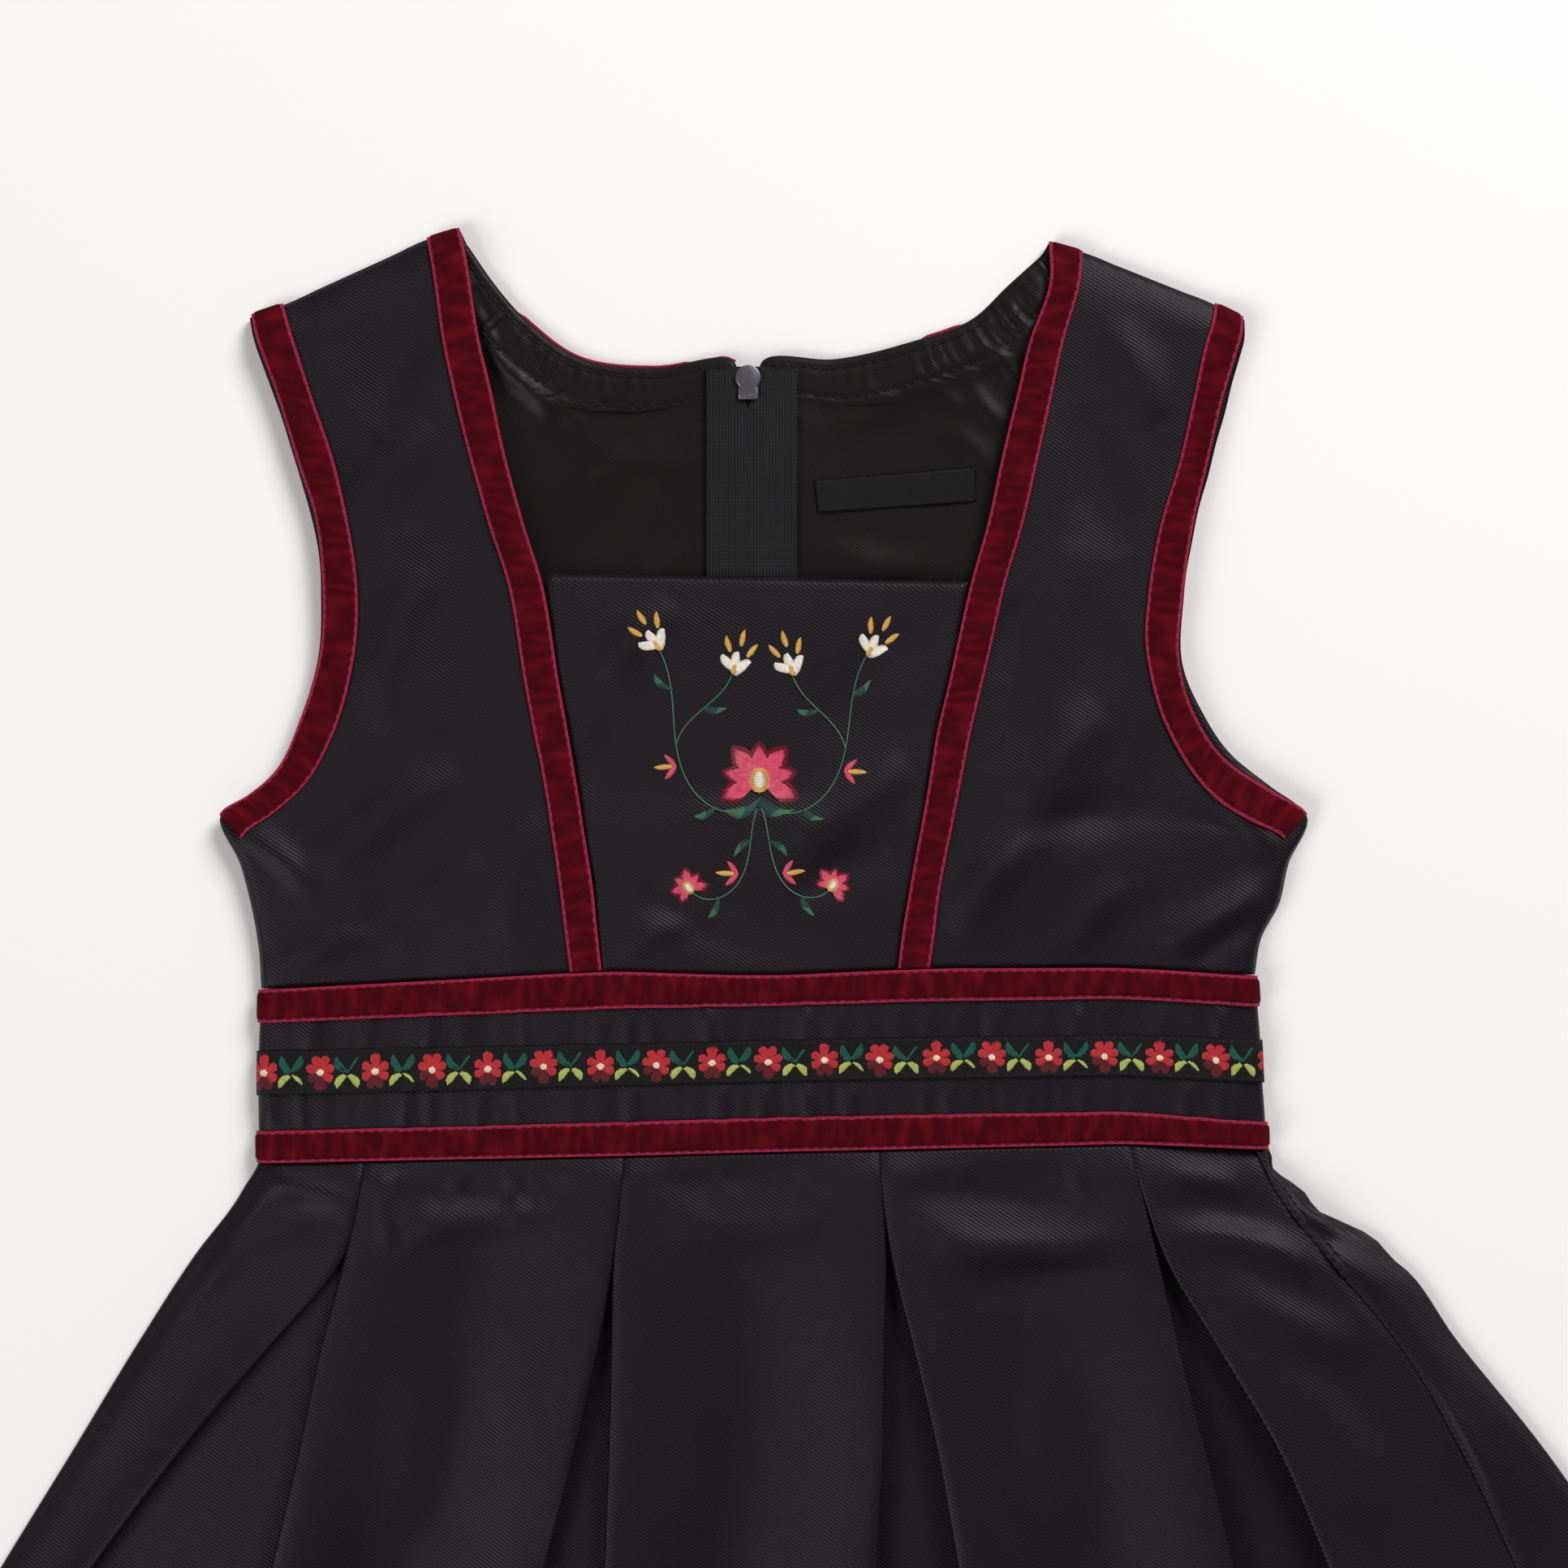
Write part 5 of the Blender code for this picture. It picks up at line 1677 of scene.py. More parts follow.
@dataclass
class Skirt:
    """Skirt with four box pleats on the front and four on the back, laid flat."""

    seam_top: float = 6.1
    edge_top: float = 7.5
    edge_low: float = 11.5
    under: float = 3.9
    between: float = 5.0
    hem: Threads = field(default_factory=Threads)

    def lines(self, fine: float, coarse: float) -> list[SkirtRow]:
        """Close rows from waist to hem.

        Args:
            fine: Distance between rows near the waist.
            coarse: Distance between rows below.

        Returns:
            The rows.
        """
        table = np.array(SKIRT, float)
        near = np.concatenate([[0, 1, 2.2, 3.8, 5.5, 7.5], np.arange(9.4, 46, 0.7 * fine),
            np.arange(47, 132, 1.1 * fine)])
        below = np.linspace(near[-1] + coarse, 420.0, round((420 - near[-1]) / coarse))
        places = np.concatenate([near, below])
        return [SkirtRow(*row) for row in smooth(-table[:, 0], table, places)]

    def grid(self, rows: list[SkirtRow], paths: list[Path], creases: tuple[Crease, ...], seed: int) -> Surface:
        """Surface from a path across each row.

        Args:
            rows: The rows.
            paths: A path for each.
            creases: Creases of its upper layer.
            seed: Which unevenness.

        Returns:
            The cloth.
        """
        points = []
        for row, path in zip(rows, paths):
            line = []
            for x, z in path.places:
                seam = band_y(BAND[0], min(max(x, -143.0), 142.9)) - SEAM_GAP
                share = max(0.0, 1 + row.y / 12.0)
                y = row.y + seam * share * share * (3 - 2 * share) + row.rise * (x / RISE_AT) ** 2
                line.append((x, y, z))
            points.append(line)
        made = np.array(points)
        x, y = made[..., 0], made[..., 1]
        lift = 0.45 * waves(x, y, 70, seed) + 0.12 * waves(x, y, 24, seed + 1)
        for crease in creases:
            lift = lift + crease.on(x, y)
        crown = np.array([path.crown for path in paths])
        free = np.clip(-np.array([row.y for row in rows]) / 7.0, 0, 1)[:, None]
        made[..., 2] += (np.logaddexp(0.0, 3.0 * (lift + 0.8)) / 3.0 - 0.8) * crown * free
        last_row, last_column = made.shape[0] - 1, made.shape[1] - 1
        return Surface(made, [0, last_row], [0, last_column])

    def front_pleat(self, path: Path, row: SkirtRow, a: float, b: float, top: float, open_share: float) -> None:
        """Fold under at a, cross beneath, and come up at b.

        Args:
            path: The row's path, at the pleat's left edge.
            row: The row.
            a: Left edge.
            b: Right edge.
            top: Height of the edges.
            open_share: How far the row is from the waist seam, 0 to 1.
        """
        deep = row.depth
        back = self.between - (1 - open_share) * 0.9
        low = self.under - (1 - open_share) * 0.9
        path.turn(top - 1.3, 1)
        path.run(a - 2.5, back + 0.2, 2)
        path.run(a - deep, back, 5)
        path.turn(low, -1)
        path.run(b + deep, low, 22, -0.3 * open_share)
        path.turn(back, 1)
        path.run(b + 2.5, back + 0.2, 5)
        path.run(b, top - 1.3, 2)
        path.turn(top, -1)

    def front(self) -> Surface:
        """Front of the skirt, with the side that turns under at the left.

        Returns:
            The cloth.
        """
        rows = self.lines(3.0, 10.0)
        paths = []
        for row in rows:
            open_share = min(1.0, -row.y / 6.0)
            low_share = min(1.0, max(0.0, (-row.y - 6) / 90))
            edge = self.seam_top + (self.edge_top - self.seam_top) * open_share
            edge += (self.edge_low - self.edge_top) * low_share
            middle = self.seam_top + 0.1 * open_share
            path = Path([(row.left + LEFT_WRAP, 0.55)], [0.0])
            path.run(row.left + 1.4, 0.55, 3)
            path.turn(3.0, -1, 6)
            path.run(row.left + 3.4, 4.3, 2)
            path.run(row.left + 7.0, 5.8, 3, 0.0, 0.4)
            path.run(row.a1, edge, 16, 0.5, 1.0)
            pairs = ((row.a1, row.b1), (row.a2, row.b2), (row.a3, row.b3), (row.a4, row.b4))
            for number, (a, b) in enumerate(pairs):
                self.front_pleat(path, row, a, b, edge, open_share)
                if number < 3:
                    path.run(pairs[number + 1][0], edge, 34, edge - middle, 1.0)
            seam_z = row.seam_z + 1.2 * open_share
            path.run(row.seam - 3.0, seam_z, 28, 0.3, 1.0)
            path.run(row.seam - GAP / 2, seam_z - 0.55, 3)
            paths.append(path)
        return self.grid(rows, paths, SKIRT_CREASES, SEED + 51)

    def back_pleat(self, path: Path, row: SkirtRow, a: float, b: float) -> None:
        """Fold up at a, cross above, and come down at b.

        Args:
            path: The row's path, at the pleat's left edge.
            row: The row.
            a: Left edge.
            b: Right edge.
        """
        deep = row.depth - BACK_SHALLOWER
        path.turn(1.8, 1, 3)
        path.run(a - deep, 1.8, 4)
        path.turn(3.1, -1, 3)
        path.run(b + deep, 3.1, 8)
        path.turn(1.8, 1, 3)
        path.run(b, 1.8, 4)
        path.turn(0.5, -1, 3)

    def crumple(self, y: float) -> float:
        """How far the right side bulges where it is crushed under the waist."""
        lobes = ((-5.5, 2.4, -1.6), (-12.0, 3.6, 3.0), (-17.5, 1.8, -0.8), (-24.0, 4.0, 2.4), (-31.0, 3.0, -1.0))
        return sum(high * math.exp(-(((y - place) / wide) ** 2)) for place, wide, high in lobes)

    def back(self, hand: Hand) -> Surface:
        """Half of the back of the skirt.

        Args:
            hand: Which half; the right one comes over to a seam on the front.

        Returns:
            The cloth.
        """
        rows = self.lines(4.0, 10.0)
        paths = []
        for row in rows:
            slit = SLIT + (GAP / 2 - SLIT) * min(1.0, max(0.0, (-row.y - 70) / 20))
            if hand is Hand.LEFT:
                path = Path([(row.left + LEFT_WRAP + GAP, 0.5)], [0.0])
                for a, b, shift in ((row.a1, row.b1, 0), (row.a2, row.b2, 1)):
                    path.run(a + BACK_SHIFT[shift], 0.5, 10)
                    self.back_pleat(path, row, a + BACK_SHIFT[shift], b + BACK_SHIFT[shift])
                path.run(ZIP_X - slit, 0.5, 8)
            else:
                path = Path([(ZIP_X + slit, 0.5)], [0.0])
                for a, b, shift in ((row.a3, row.b3, 2), (row.a4, row.b4, 3)):
                    path.run(a + BACK_SHIFT[shift], 0.5, 10)
                    self.back_pleat(path, row, a + BACK_SHIFT[shift], b + BACK_SHIFT[shift])
                right = row.right + self.crumple(row.y)
                wide = right - row.seam
                open_share = min(1.0, -row.y / 10.0)
                path.run(right - 1.4, 0.5, 14)
                path.turn(2.9, 1, 6)
                path.run(right - min(3.4, 0.5 * wide), 3.9 + 0.2 * open_share, 2)
                seam_z = row.seam_z + 1.2 * open_share
                path.run(row.seam + min(3.0, 0.4 * wide), seam_z, 9, -0.4 * open_share, 1.0)
                path.run(row.seam + GAP / 2, seam_z - 0.55, 3)
            paths.append(path)
        return self.grid(rows, paths, WRAP_CREASES, SEED + 52)

    def dress(self, dresser: Dresser) -> None:
        """Make the skirt and the stitches of its hem.

        Args:
            dresser: Puts it on the dress.
        """
        front = self.front()
        dresser.cloth("skirt_front", front, "twill", "twill", "folded", 0.7)
        line = front.points[-2].copy()
        line[:, 1] += 6
        line[:, 2] += 0.4
        stitched(self.hem, line, 3.0, 1.2, 0.4)
        for hand in Hand:
            dresser.cloth(f"skirt_back_{hand.value}", self.back(hand), "twill", "twill", "folded", 0.7)
        dresser.threads("hem_stitches", self.hem, "thread_black", "twill")


# zip and label


@dataclass
class Zip:
    """Zip at the centre back: tapes, coil, slider and pull tab."""

    pitch: float = 1.35
    half: float = 1.3
    head_y: float = 219.8
    head: float = 3.5
    foot: float = 2.7
    foot_y: float = 213.7

    def tape(self, hand: Hand) -> tuple[Surface, Array]:
        """A tape with its rib beside the coil.

        Args:
            hand: Which one.

        Returns:
            Its surface, and its coordinates.
        """
        rows = np.array(TAPE)
        y = np.concatenate([np.arange(-80, 150, 6.0), np.arange(150, 223, 1.6), [223.0]])
        z = np.interp(y, rows[:, 0], rows[:, 1])
        inner = np.interp(y, rows[:, 0], rows[:, 2]) - 0.13
        outer_x = TAPE_LEFT if hand is Hand.LEFT else TAPE_RIGHT
        share = np.linspace(0, 1, 22)
        points = []
        for yy, zz, gap in zip(y, z, inner):
            inner_x = ZIP_X - gap if hand is Hand.LEFT else ZIP_X + gap
            x = outer_x + (inner_x - outer_x) * share
            from_inner = np.abs(x - inner_x)
            high = (
                zz - 0.1 + 0.28 * np.exp(-(((from_inner - 2.6) / 0.7) ** 2))
                + 0.2 * np.exp(-(((from_inner - 4.6) / 0.5) ** 2))
            )
            high = high + 0.12 * math.sin(yy / 9.0) * (1 - share)
            top = np.full_like(x, yy) + (0.5 * math.sin(yy) * (1 - share) if yy > 221 else 0.0)
            points.append(np.stack([x, top, high], axis=1))
        grid = np.array(points)
        if hand is Hand.RIGHT:
            grid = grid[:, ::-1]
        made = Surface(grid, [0, len(y) - 1], [0, len(share) - 1])
        return made, grid.copy()

    def coil(self) -> Shape:
        """The closed coil, tooth by tooth.

        Returns:
            Its points and faces.
        """
        points: list[Point] = []
        faces: Faces = []
        rows = np.array(COIL)
        place, number = rows[0, 0] + 0.6, 0
        while place < rows[-1, 0] - 0.6:
            low = float(np.interp(place, rows[:, 0], rows[:, 1]))
            high = float(np.interp(place, rows[:, 0], rows[:, 2]))
            side = 1 if number % 2 else -1
            base = len(points)
            rings = 9
            middle, tall = (low + high) / 2, (high - low) / 2 - 0.05
            for k in range(rings):
                t = math.pi * (0.1 + 1.8 * k / (rings - 1))
                x = ZIP_X - side * (self.half * 0.12 - self.half * 0.8 * math.cos(t))
                z = middle + tall * math.sin(t)
                lean = 0.22 * math.cos(t)
                for j in range(5):
                    turn = 2 * math.pi * j / 5
                    out = 0.26 * math.cos(turn)
                    points.append((x + side * out * math.cos(t), place + lean + 0.26 * math.sin(turn),
                        z + out * math.sin(t)))
            for k in range(rings - 1):
                for j in range(5):
                    a, b = base + k * 5 + j, base + k * 5 + (j + 1) % 5
                    faces.append((a, b, b + 5, a + 5))
            place += self.pitch / 2
            number += 1
        return points, faces

    def outline(self, grow: float) -> list[Flat]:
        """Outline of a slider plate: round at the top, square at the bottom.

        Args:
            grow: How much larger all round.

        Returns:
            Its corners in order.
        """
        corners = []
        for k in range(17):
            turn = math.radians(-32 + (244 * k / 16))
            reach = self.head + grow
            corners.append((reach * math.cos(turn), self.head_y + reach * math.sin(turn)))
        wide, low = self.foot + grow, self.foot_y - grow
        corners += [(-wide + 0.5, 217.1), (-wide, 216.4), (-wide, low + 0.5), (-wide + 0.5, low)]
        corners += [(wide - 0.5, low), (wide, low + 0.5), (wide, 216.4), (wide - 0.5, 217.1)]
        return corners

    def slider(self) -> Shape:
        """Both plates, the wedge, the side flanges and the bridge of the slider.

        Returns:
            Its points and faces.
        """
        points: list[Point] = []
        faces: Faces = []
        for heights in ((5.66, 5.86, 6.35, 6.5), (1.9, 2.05, 2.45, 2.62)):
            base, rings = len(points), ((-0.25, heights[0]), (0.05, heights[1]), (0.05, heights[2]), (-0.3, heights[3]))
            for grow, z in rings:
                points.extend((ZIP_X + x, y, z) for x, y in self.outline(grow))
            count = len(self.outline(0.0))
            for ring in range(3):
                for k in range(count):
                    a, b = base + ring * count + k, base + ring * count + (k + 1) % count
                    faces.append((a, b, b + count, a + count))
            faces.append(tuple(range(base + count - 1, base - 1, -1)))
            faces.append(tuple(range(base + 3 * count, base + 4 * count)))
        blocks = (((-0.8, 219.6, 2.5), (0.8, 222.6, 5.8)), ((-2.75, 213.9, 5.0), (-2.35, 217.8, 5.9)),
            ((2.35, 213.9, 5.0), (2.75, 217.8, 5.9)), ((-0.7, 216.6, 0.05), (0.7, 217.2, 2.2)),
            ((-0.7, 220.8, 0.05), (0.7, 221.4, 2.2)), ((-0.7, 216.6, 0.05), (0.7, 221.4, 0.55)),
            ((-1.5, 218.4, 6.4), (-0.5, 221.6, 6.75)), ((0.5, 218.4, 6.4), (1.5, 221.6, 6.75)),
            ((-1.9, 214.5, 6.4), (1.9, 215.1, 6.7)))
        for low, high in blocks:
            self.block(points, faces, low, high, 0.12)
        return points, faces

    def block(self, points: list[Point], faces: Faces, low: Point, high: Point, bevel: float) -> None:
        """Add a block with bevelled upper and lower edges.

        Args:
            points: Points so far.
            faces: Faces so far.
            low: Its lowest corner, from the zip's centre line.
            high: Its highest corner.
            bevel: Width of its bevels.
        """
        base = len(points)
        for inset, z in ((bevel, low[2]), (0.0, low[2] + bevel), (0.0, high[2] - bevel), (bevel, high[2])):
            x0, x1 = ZIP_X + low[0] + inset, ZIP_X + high[0] - inset
            y0, y1 = low[1] + inset, high[1] - inset
            points.extend(((x0, y0, z), (x1, y0, z), (x1, y1, z), (x0, y1, z)))
        for ring in range(3):
            for k in range(4):
                a, b = base + ring * 4 + k, base + ring * 4 + (k + 1) % 4
                faces.append((a, b, b + 4, a + 4))
        faces.append((base + 3, base + 2, base + 1, base))
        faces.append((base + 12, base + 13, base + 14, base + 15))

    def pull(self) -> Shape:
        """The pull tab: a rounded blade with a window at its bar.

        Returns:
            Its points and faces.
        """
        outer = [(2.0, 0.35), (2.3, -1.0), (2.5, -3.5), (2.5, -9.0), (2.5, -15.6), (2.2, -16.9), (1.5, -17.6)]
        inner = [(1.1, -0.35), (1.1, -1.2), (1.1, -2.2), (0.95, -3.1), (0.6, -3.15), (0.3, -3.15), (0.1, -3.15)]
        outer += [(-x, y) for x, y in outer[::-1]]
        inner += [(-x, y) for x, y in inner[::-1]]
        points: list[Point] = []
        faces: Faces = []
        count = len(outer)
        rings = ((inner, 0.0, -0.22), (outer, 0.18, -0.35), (outer, 0.0, -0.15), (outer, 0.0, 0.15),
            (outer, 0.18, 0.35), (inner, 0.0, 0.22))
        for ring, inset, z in rings:
            for x, y in ring:
                shrink = 1 - inset / 2.5
                points.append((ZIP_X + x * shrink, PULL_Y + y * (1 - inset / 18), PULL_Z + z))
        for ring in range(len(rings)):
            for k in range(count):
                a, b = ring * count + k, ring * count + (k + 1) % count
                over = (ring + 1) % len(rings) - ring
                faces.append((a, b, b + over * count, a + over * count))
        return points, faces

    def dress(self, dresser: Dresser) -> None:
        """Make the zip.

        Args:
            dresser: Puts it on the dress.
        """
        for hand in Hand:
            tape, coords = self.tape(hand)
            if hand is Hand.RIGHT:
                tape.points = tape.points[:, ::-1]
                coords = coords[:, ::-1]
            piece = dresser.cloth(f"zip_tape_{hand.value}", tape, "zip_tape_knit", "zip_tape", "laid", 0.5, coords)
            piece.data.update()
        points, faces = self.coil()
        chain = solid_mesh("zip_coil", np.array(points), faces, dresser.wardrobe.made["coil"])
        dresser.settle(chain, DRESS, ("zip_chain",))
        metal = dresser.wardrobe.made["metal"]
        for name, node, body, made in (("zip_slider_body", "zip_slider", DRESS, self.slider()),
            ("zip_pull_blade", "zip_pull_tab", PULL, self.pull())):
            piece = solid_mesh(name, np.array(made[0]), made[1], metal)
            soft = piece.modifiers.new("edges", "BEVEL")
            soft.width = 0.08 * MM
            soft.segments = 2
            soft.limit_method = "ANGLE"
            dresser.settle(piece, body, (node,))
        self.fray(dresser)

    def fray(self, dresser: Dresser) -> None:
        """Loose thread ends along the cut tops of the tapes.

        Args:
            dresser: Puts them on the dress.
        """
        draw = np.random.default_rng(SEED + 61)
        ends = Threads()
        for low, high in ((-16.0, -9.2), (1.6, 9.6)):
            for _ in range(34):
                x = draw.uniform(low, high)
                y, z = 222.6 + draw.uniform(-0.6, 0.3), 5.15
                lean, reach = draw.uniform(-1.2, 1.2), draw.uniform(0.5, 2.2)
                bend = draw.uniform(-0.5, 0.5)
                ends.lay([(x, y, z), (x + lean * 0.5 + bend, y + reach * 0.6, z + 0.3), (x + lean, y + reach, z + 0.1)],
                    0.16, 0.14)
        dresser.threads("zip_tape_frayed_ends", ends, "thread_black", "zip_tape")


@dataclass
class NeckLabel:
    """Plain woven label, folded under at both ends, on the right half of the lining."""

    corners: tuple[Flat, ...] = LABEL_CORNERS
    thickness: float = 0.35

    def dress(self, dresser: Dresser, lining: Surface) -> None:
        """Make the label.

        Args:
            dresser: Puts it on the dress.
            lining: The lining under it.
        """
        under = lining.tree()
        low_left, low_right, high_right, high_left = self.corners
        rows, coords = [], []
        for j in range(13):
            start = between(low_left, high_left, j / 12)
            end = between(low_right, high_right, j / 12)
            row, values = [], []
            for i in range(61):
                t = i / 60
                x, y = between(start, end, t)
                notch = 0.12 * (1 if i % 2 else -1) if j in (0, 12) else 0.0
                edge = min(t, 1 - t) * 60
                high = 0.75 - 0.5 * math.exp(-edge / 0.9) + 0.12 * math.sin(t * 9 + 0.6)
                row.append((x, y + notch, over(under, x, y, 0.0)[2] + high))
                values.append((t * 46, j / 12 * 9.6, 0.0))
            rows.append(row)
            coords.append(values)
        grid = np.array(rows)
        for _ in range(3):
            grid[1:-1, 1:-1, 2] = (grid[:-2, 1:-1, 2] + grid[2:, 1:-1, 2] + grid[1:-1, :-2, 2] + grid[1:-1, 2:, 2]) / 4
        made = Surface(grid, [0, 12], [0, 60])
        dresser.cloth("neck_label", made, "label_satin", "label", "folded", self.thickness, np.array(coords))
        zigzag, rims = Threads(), Threads()
        for j in (1, 11):
            for i in range(60):
                a, b = grid[j, i], grid[j, i + 1]
                swing = 0.28 if i % 2 else -0.28
                zigzag.lay([(a[0], a[1] - swing, a[2] + 0.2), (b[0], b[1] + swing, b[2] + 0.2)], 0.16, 0.08)
        for i in (1, 59):
            line = [(p[0], p[1], p[2] + 0.2) for p in grid[::2, i]]
            rims.lay(line, 0.3, 0.1)
        dresser.threads("label_zigzag", zigzag, "thread_black", "label")
        dresser.threads("label_end_stitches", rims, "thread_black", "label")


# woven flowers


class Leaf(NamedTuple):
    """A leaf or petal of the woven ribbon, from the middle of its motif."""

    x0: float
    y0: float
    x1: float
    y1: float
    width: float
    bow: float
    shade: str


def petal(angle: float, reach: float, width: float, shade: str) -> Leaf:
    """A petal that points away from its flower's middle."""
    x, y = math.cos(math.radians(angle)), math.sin(math.radians(angle))
    return Leaf(0.75 * x, 0.75 * y, reach * x, reach * y, width, 0.0, shade)


# The lower petals in the darker red weft are painted shade on each flower's lower side.
FLOWERS = (
    (petal(90, 5.0, 2.7, "weft_red"), petal(152, 4.3, 2.3, "weft_red"), petal(28, 4.3, 2.3, "weft_red"),
        petal(204, 4.2, 2.2, "weft_red"), petal(-24, 4.2, 2.2, "weft_red"), petal(-111, 4.9, 2.2, "weft_red_painted_shade"),
        petal(-69, 4.9, 2.2, "weft_red_painted_shade")),
    (petal(112, 4.9, 2.3, "weft_red"), petal(68, 4.9, 2.3, "weft_red"), petal(160, 4.3, 2.2, "weft_red"),
        petal(20, 4.3, 2.2, "weft_red"), petal(212, 4.1, 2.2, "weft_red_painted_shade"), petal(-32, 4.1, 2.2, "weft_red"),
        petal(-90, 5.0, 3.0, "weft_red_painted_shade")),
)
SPRAYS = (
    (Leaf(-0.1, 0.0, -2.7, 4.5, 1.9, 0.7, "weft_green"), Leaf(0.2, 0.2, 3.1, 4.6, 1.9, -0.7, "weft_green"),
        Leaf(-0.2, -0.1, -2.2, 0.4, 1.0, 0.0, "weft_green"),
        Leaf(-0.2, -0.9, -3.4, -4.0, 1.8, -0.7, "weft_light_green"),
        Leaf(0.4, -0.7, 3.3, -3.4, 0.9, 0.3, "weft_light_green")),
    (Leaf(-0.1, 0.2, -3.2, 4.4, 1.9, 1.0, "weft_green"), Leaf(-0.1, 0.0, -2.4, 0.9, 1.2, -0.3, "weft_green"),
        Leaf(0.0, -0.3, 3.2, 4.0, 0.7, 0.0, "weft_green"), Leaf(-0.4, -0.8, -3.2, -4.2, 1.9, -0.6, "weft_light_green"),
        Leaf(0.5, -0.8, 3.1, -4.2, 1.9, 0.6, "weft_light_green")),
)


def leaf_outline(leaf: Leaf, along: float, across: float) -> list[Flat]:
    """Outline of a leaf whose motif's middle is at a place.

    Args:
        leaf: The leaf.
        along: The middle's place along the ribbon.
        across: Its place across it.

    Returns:
        Corners in order.
    """
    dx, dy = leaf.x1 - leaf.x0, leaf.y1 - leaf.y0
    length = math.hypot(dx, dy)
    ux, uy = dx / length, dy / length
    sides: tuple[list[Flat], list[Flat]] = ([], [])
    for k in range(9):
        t = k / 8
        peak, blunt = (2.1, 0.5) if leaf.bow == 0.0 else (1.25, 0.7)
        half = leaf.width / 1.8 * math.sin(math.pi * min(1.0, 0.12 + 0.88 * t**peak)) ** blunt
        bow = leaf.bow * 4 * t * (1 - t)
        for number, sign in enumerate((1, -1)):
            off = bow + sign * half
            sides[number].append((along + leaf.x0 + dx * t - uy * off, across + leaf.y0 + dy * t + ux * off))
    return sides[0] + sides[1][::-1]


@dataclass
class WovenFlowers:
    """Flowers and leaves of the woven ribbon, each a row of raised floats of the weft."""

    pitch: float = 15.9
    start: float = 3.2
    float_step: float = 0.34
    float_width: float = 0.4
    high: float = 0.16
    gathered: dict[str, Threads] = field(default_factory=dict)

    def floats(self, outline: list[Flat]) -> list[Point]:
        """Where the floats cross an outline: place along, and from and to across.

        Args:
            outline: Corners in order.

        Returns:
            For each, its place along, and from and to across.
        """
        low, top = min(p[0] for p in outline), max(p[0] for p in outline)
        found = []
        place = math.ceil(low / self.float_step) * self.float_step
        while place < top:
            cuts = []
            for (x0, y0), (x1, y1) in zip(outline, outline[1:] + outline[:1]):
                if (x0 <= place) != (x1 <= place):
                    cuts.append(y0 + (y1 - y0) * (place - x0) / (x1 - x0))
            cuts.sort()
            found += [(place, a, b) for a, b in zip(cuts[::2], cuts[1::2]) if b - a > 0.25]
            place += self.float_step
        return found

    def weave(self, bed: Surface, sign: float) -> None:
        """Weave the flowers into a ribbon.

        Args:
            bed: The ribbon.
            sign: 1 if its face is up, -1 if it is down.
        """
        points = bed.points
        run = np.concatenate([[0.0],
            np.cumsum(np.linalg.norm(np.diff(points[:, points.shape[1] // 2], axis=0), axis=1))])
        wide = np.linalg.norm(np.diff(points[len(points) // 2], axis=0), axis=1).sum()
        shares = np.linspace(0, 1, points.shape[1])
        flat = points.reshape(len(points), -1)
        outward = bed.normals() * sign
        draw = np.random.default_rng(SEED + 71)

        def spot(along: float, across: float, lift: float) -> Point:
            """A point on the ribbon, by its own directions.

            Args:
                along: Place along.
                across: Place across.
                lift: How far above it.

            Returns:
                The point.
            """
            i = int(np.clip(np.searchsorted(run, along) - 1, 0, len(run) - 2))
            t = (along - run[i]) / (run[i + 1] - run[i])
            row = (flat[i] * (1 - t) + flat[i + 1] * t).reshape(-1, 3)
            share = np.clip(across / wide + 0.5, 0, 1)
            j = int(round(share * (len(shares) - 1)))
            place = [float(np.interp(share, shares, row[:, k])) for k in range(3)]
            return tuple(a + float(b) * lift for a, b in zip(place, outward[i, j]))

        count = int((run[-1] - self.start) / self.pitch) + 2
        for number in range(count):
            middle = self.start + number * self.pitch + draw.uniform(-0.2, 0.2)
            shapes = [(leaf, middle) for leaf in FLOWERS[number % 2]]
            shapes += [(leaf, middle + 7.6) for leaf in SPRAYS[number % 2]]
            shift = draw.uniform(-0.25, 0.25)
            for leaf, place in shapes:
                threads = self.gathered.setdefault(leaf.shade, Threads())
                for along, low, top in self.floats(leaf_outline(leaf, place, shift)):
                    self.float_over(threads, spot, along, low, top, run[-1], draw)
            heart = [(middle + math.cos(a), shift + math.sin(a)) for a in np.linspace(0, 2 * math.pi, 13)[:-1]]
            threads = self.gathered.setdefault("weft_cream", Threads())
            for along, low, top in self.floats(heart):
                self.float_over(threads, spot, along, low, top, run[-1], draw, 0.1)

    def float_over(self, threads: Threads, spot: Callable[[float, float, float], Point],
        along: float, low: float, top: float, end: float, draw: np.random.Generator, extra: float = 0.0) -> None:
        """Lay one float, unless the ribbon ends before it.

        Args:
            threads: Where it is gathered.
            spot: Gives a place on the ribbon.
            along: Its place along the ribbon.
            low: Where it starts across.
            top: Where it ends across.
            end: Length of the ribbon.
            draw: Source of its unevenness.
            extra: How much higher it lies.
        """
        if not 0.3 < along < end - 0.3:
            return
        low, top = low + draw.uniform(-0.12, 0.12), top + draw.uniform(-0.12, 0.12)
        lift = 0.2 + extra
        places = (low, low + 0.18 * (top - low), top - 0.18 * (top - low), top)
        line = [spot(along, place, lift + up) for place, up in zip(places, (0.0, 0.08, 0.08, 0.0))]
        threads.lay(line, self.float_width, self.high)

    def dress(self, dresser: Dresser, band: Waistband) -> None:
        """Weave and add the flowers of all three ribbons.

        Args:
            dresser: Puts them on the dress.
            band: The waistband with its ribbons.
        """
        for piece, bed in band.woven.items():
            self.weave(bed, 1.0 if piece == "front" else -1.0)
        for shade, threads in self.gathered.items():
            dresser.threads(f"ribbon_{shade}", threads, shade, "jacquard")


# embroidery

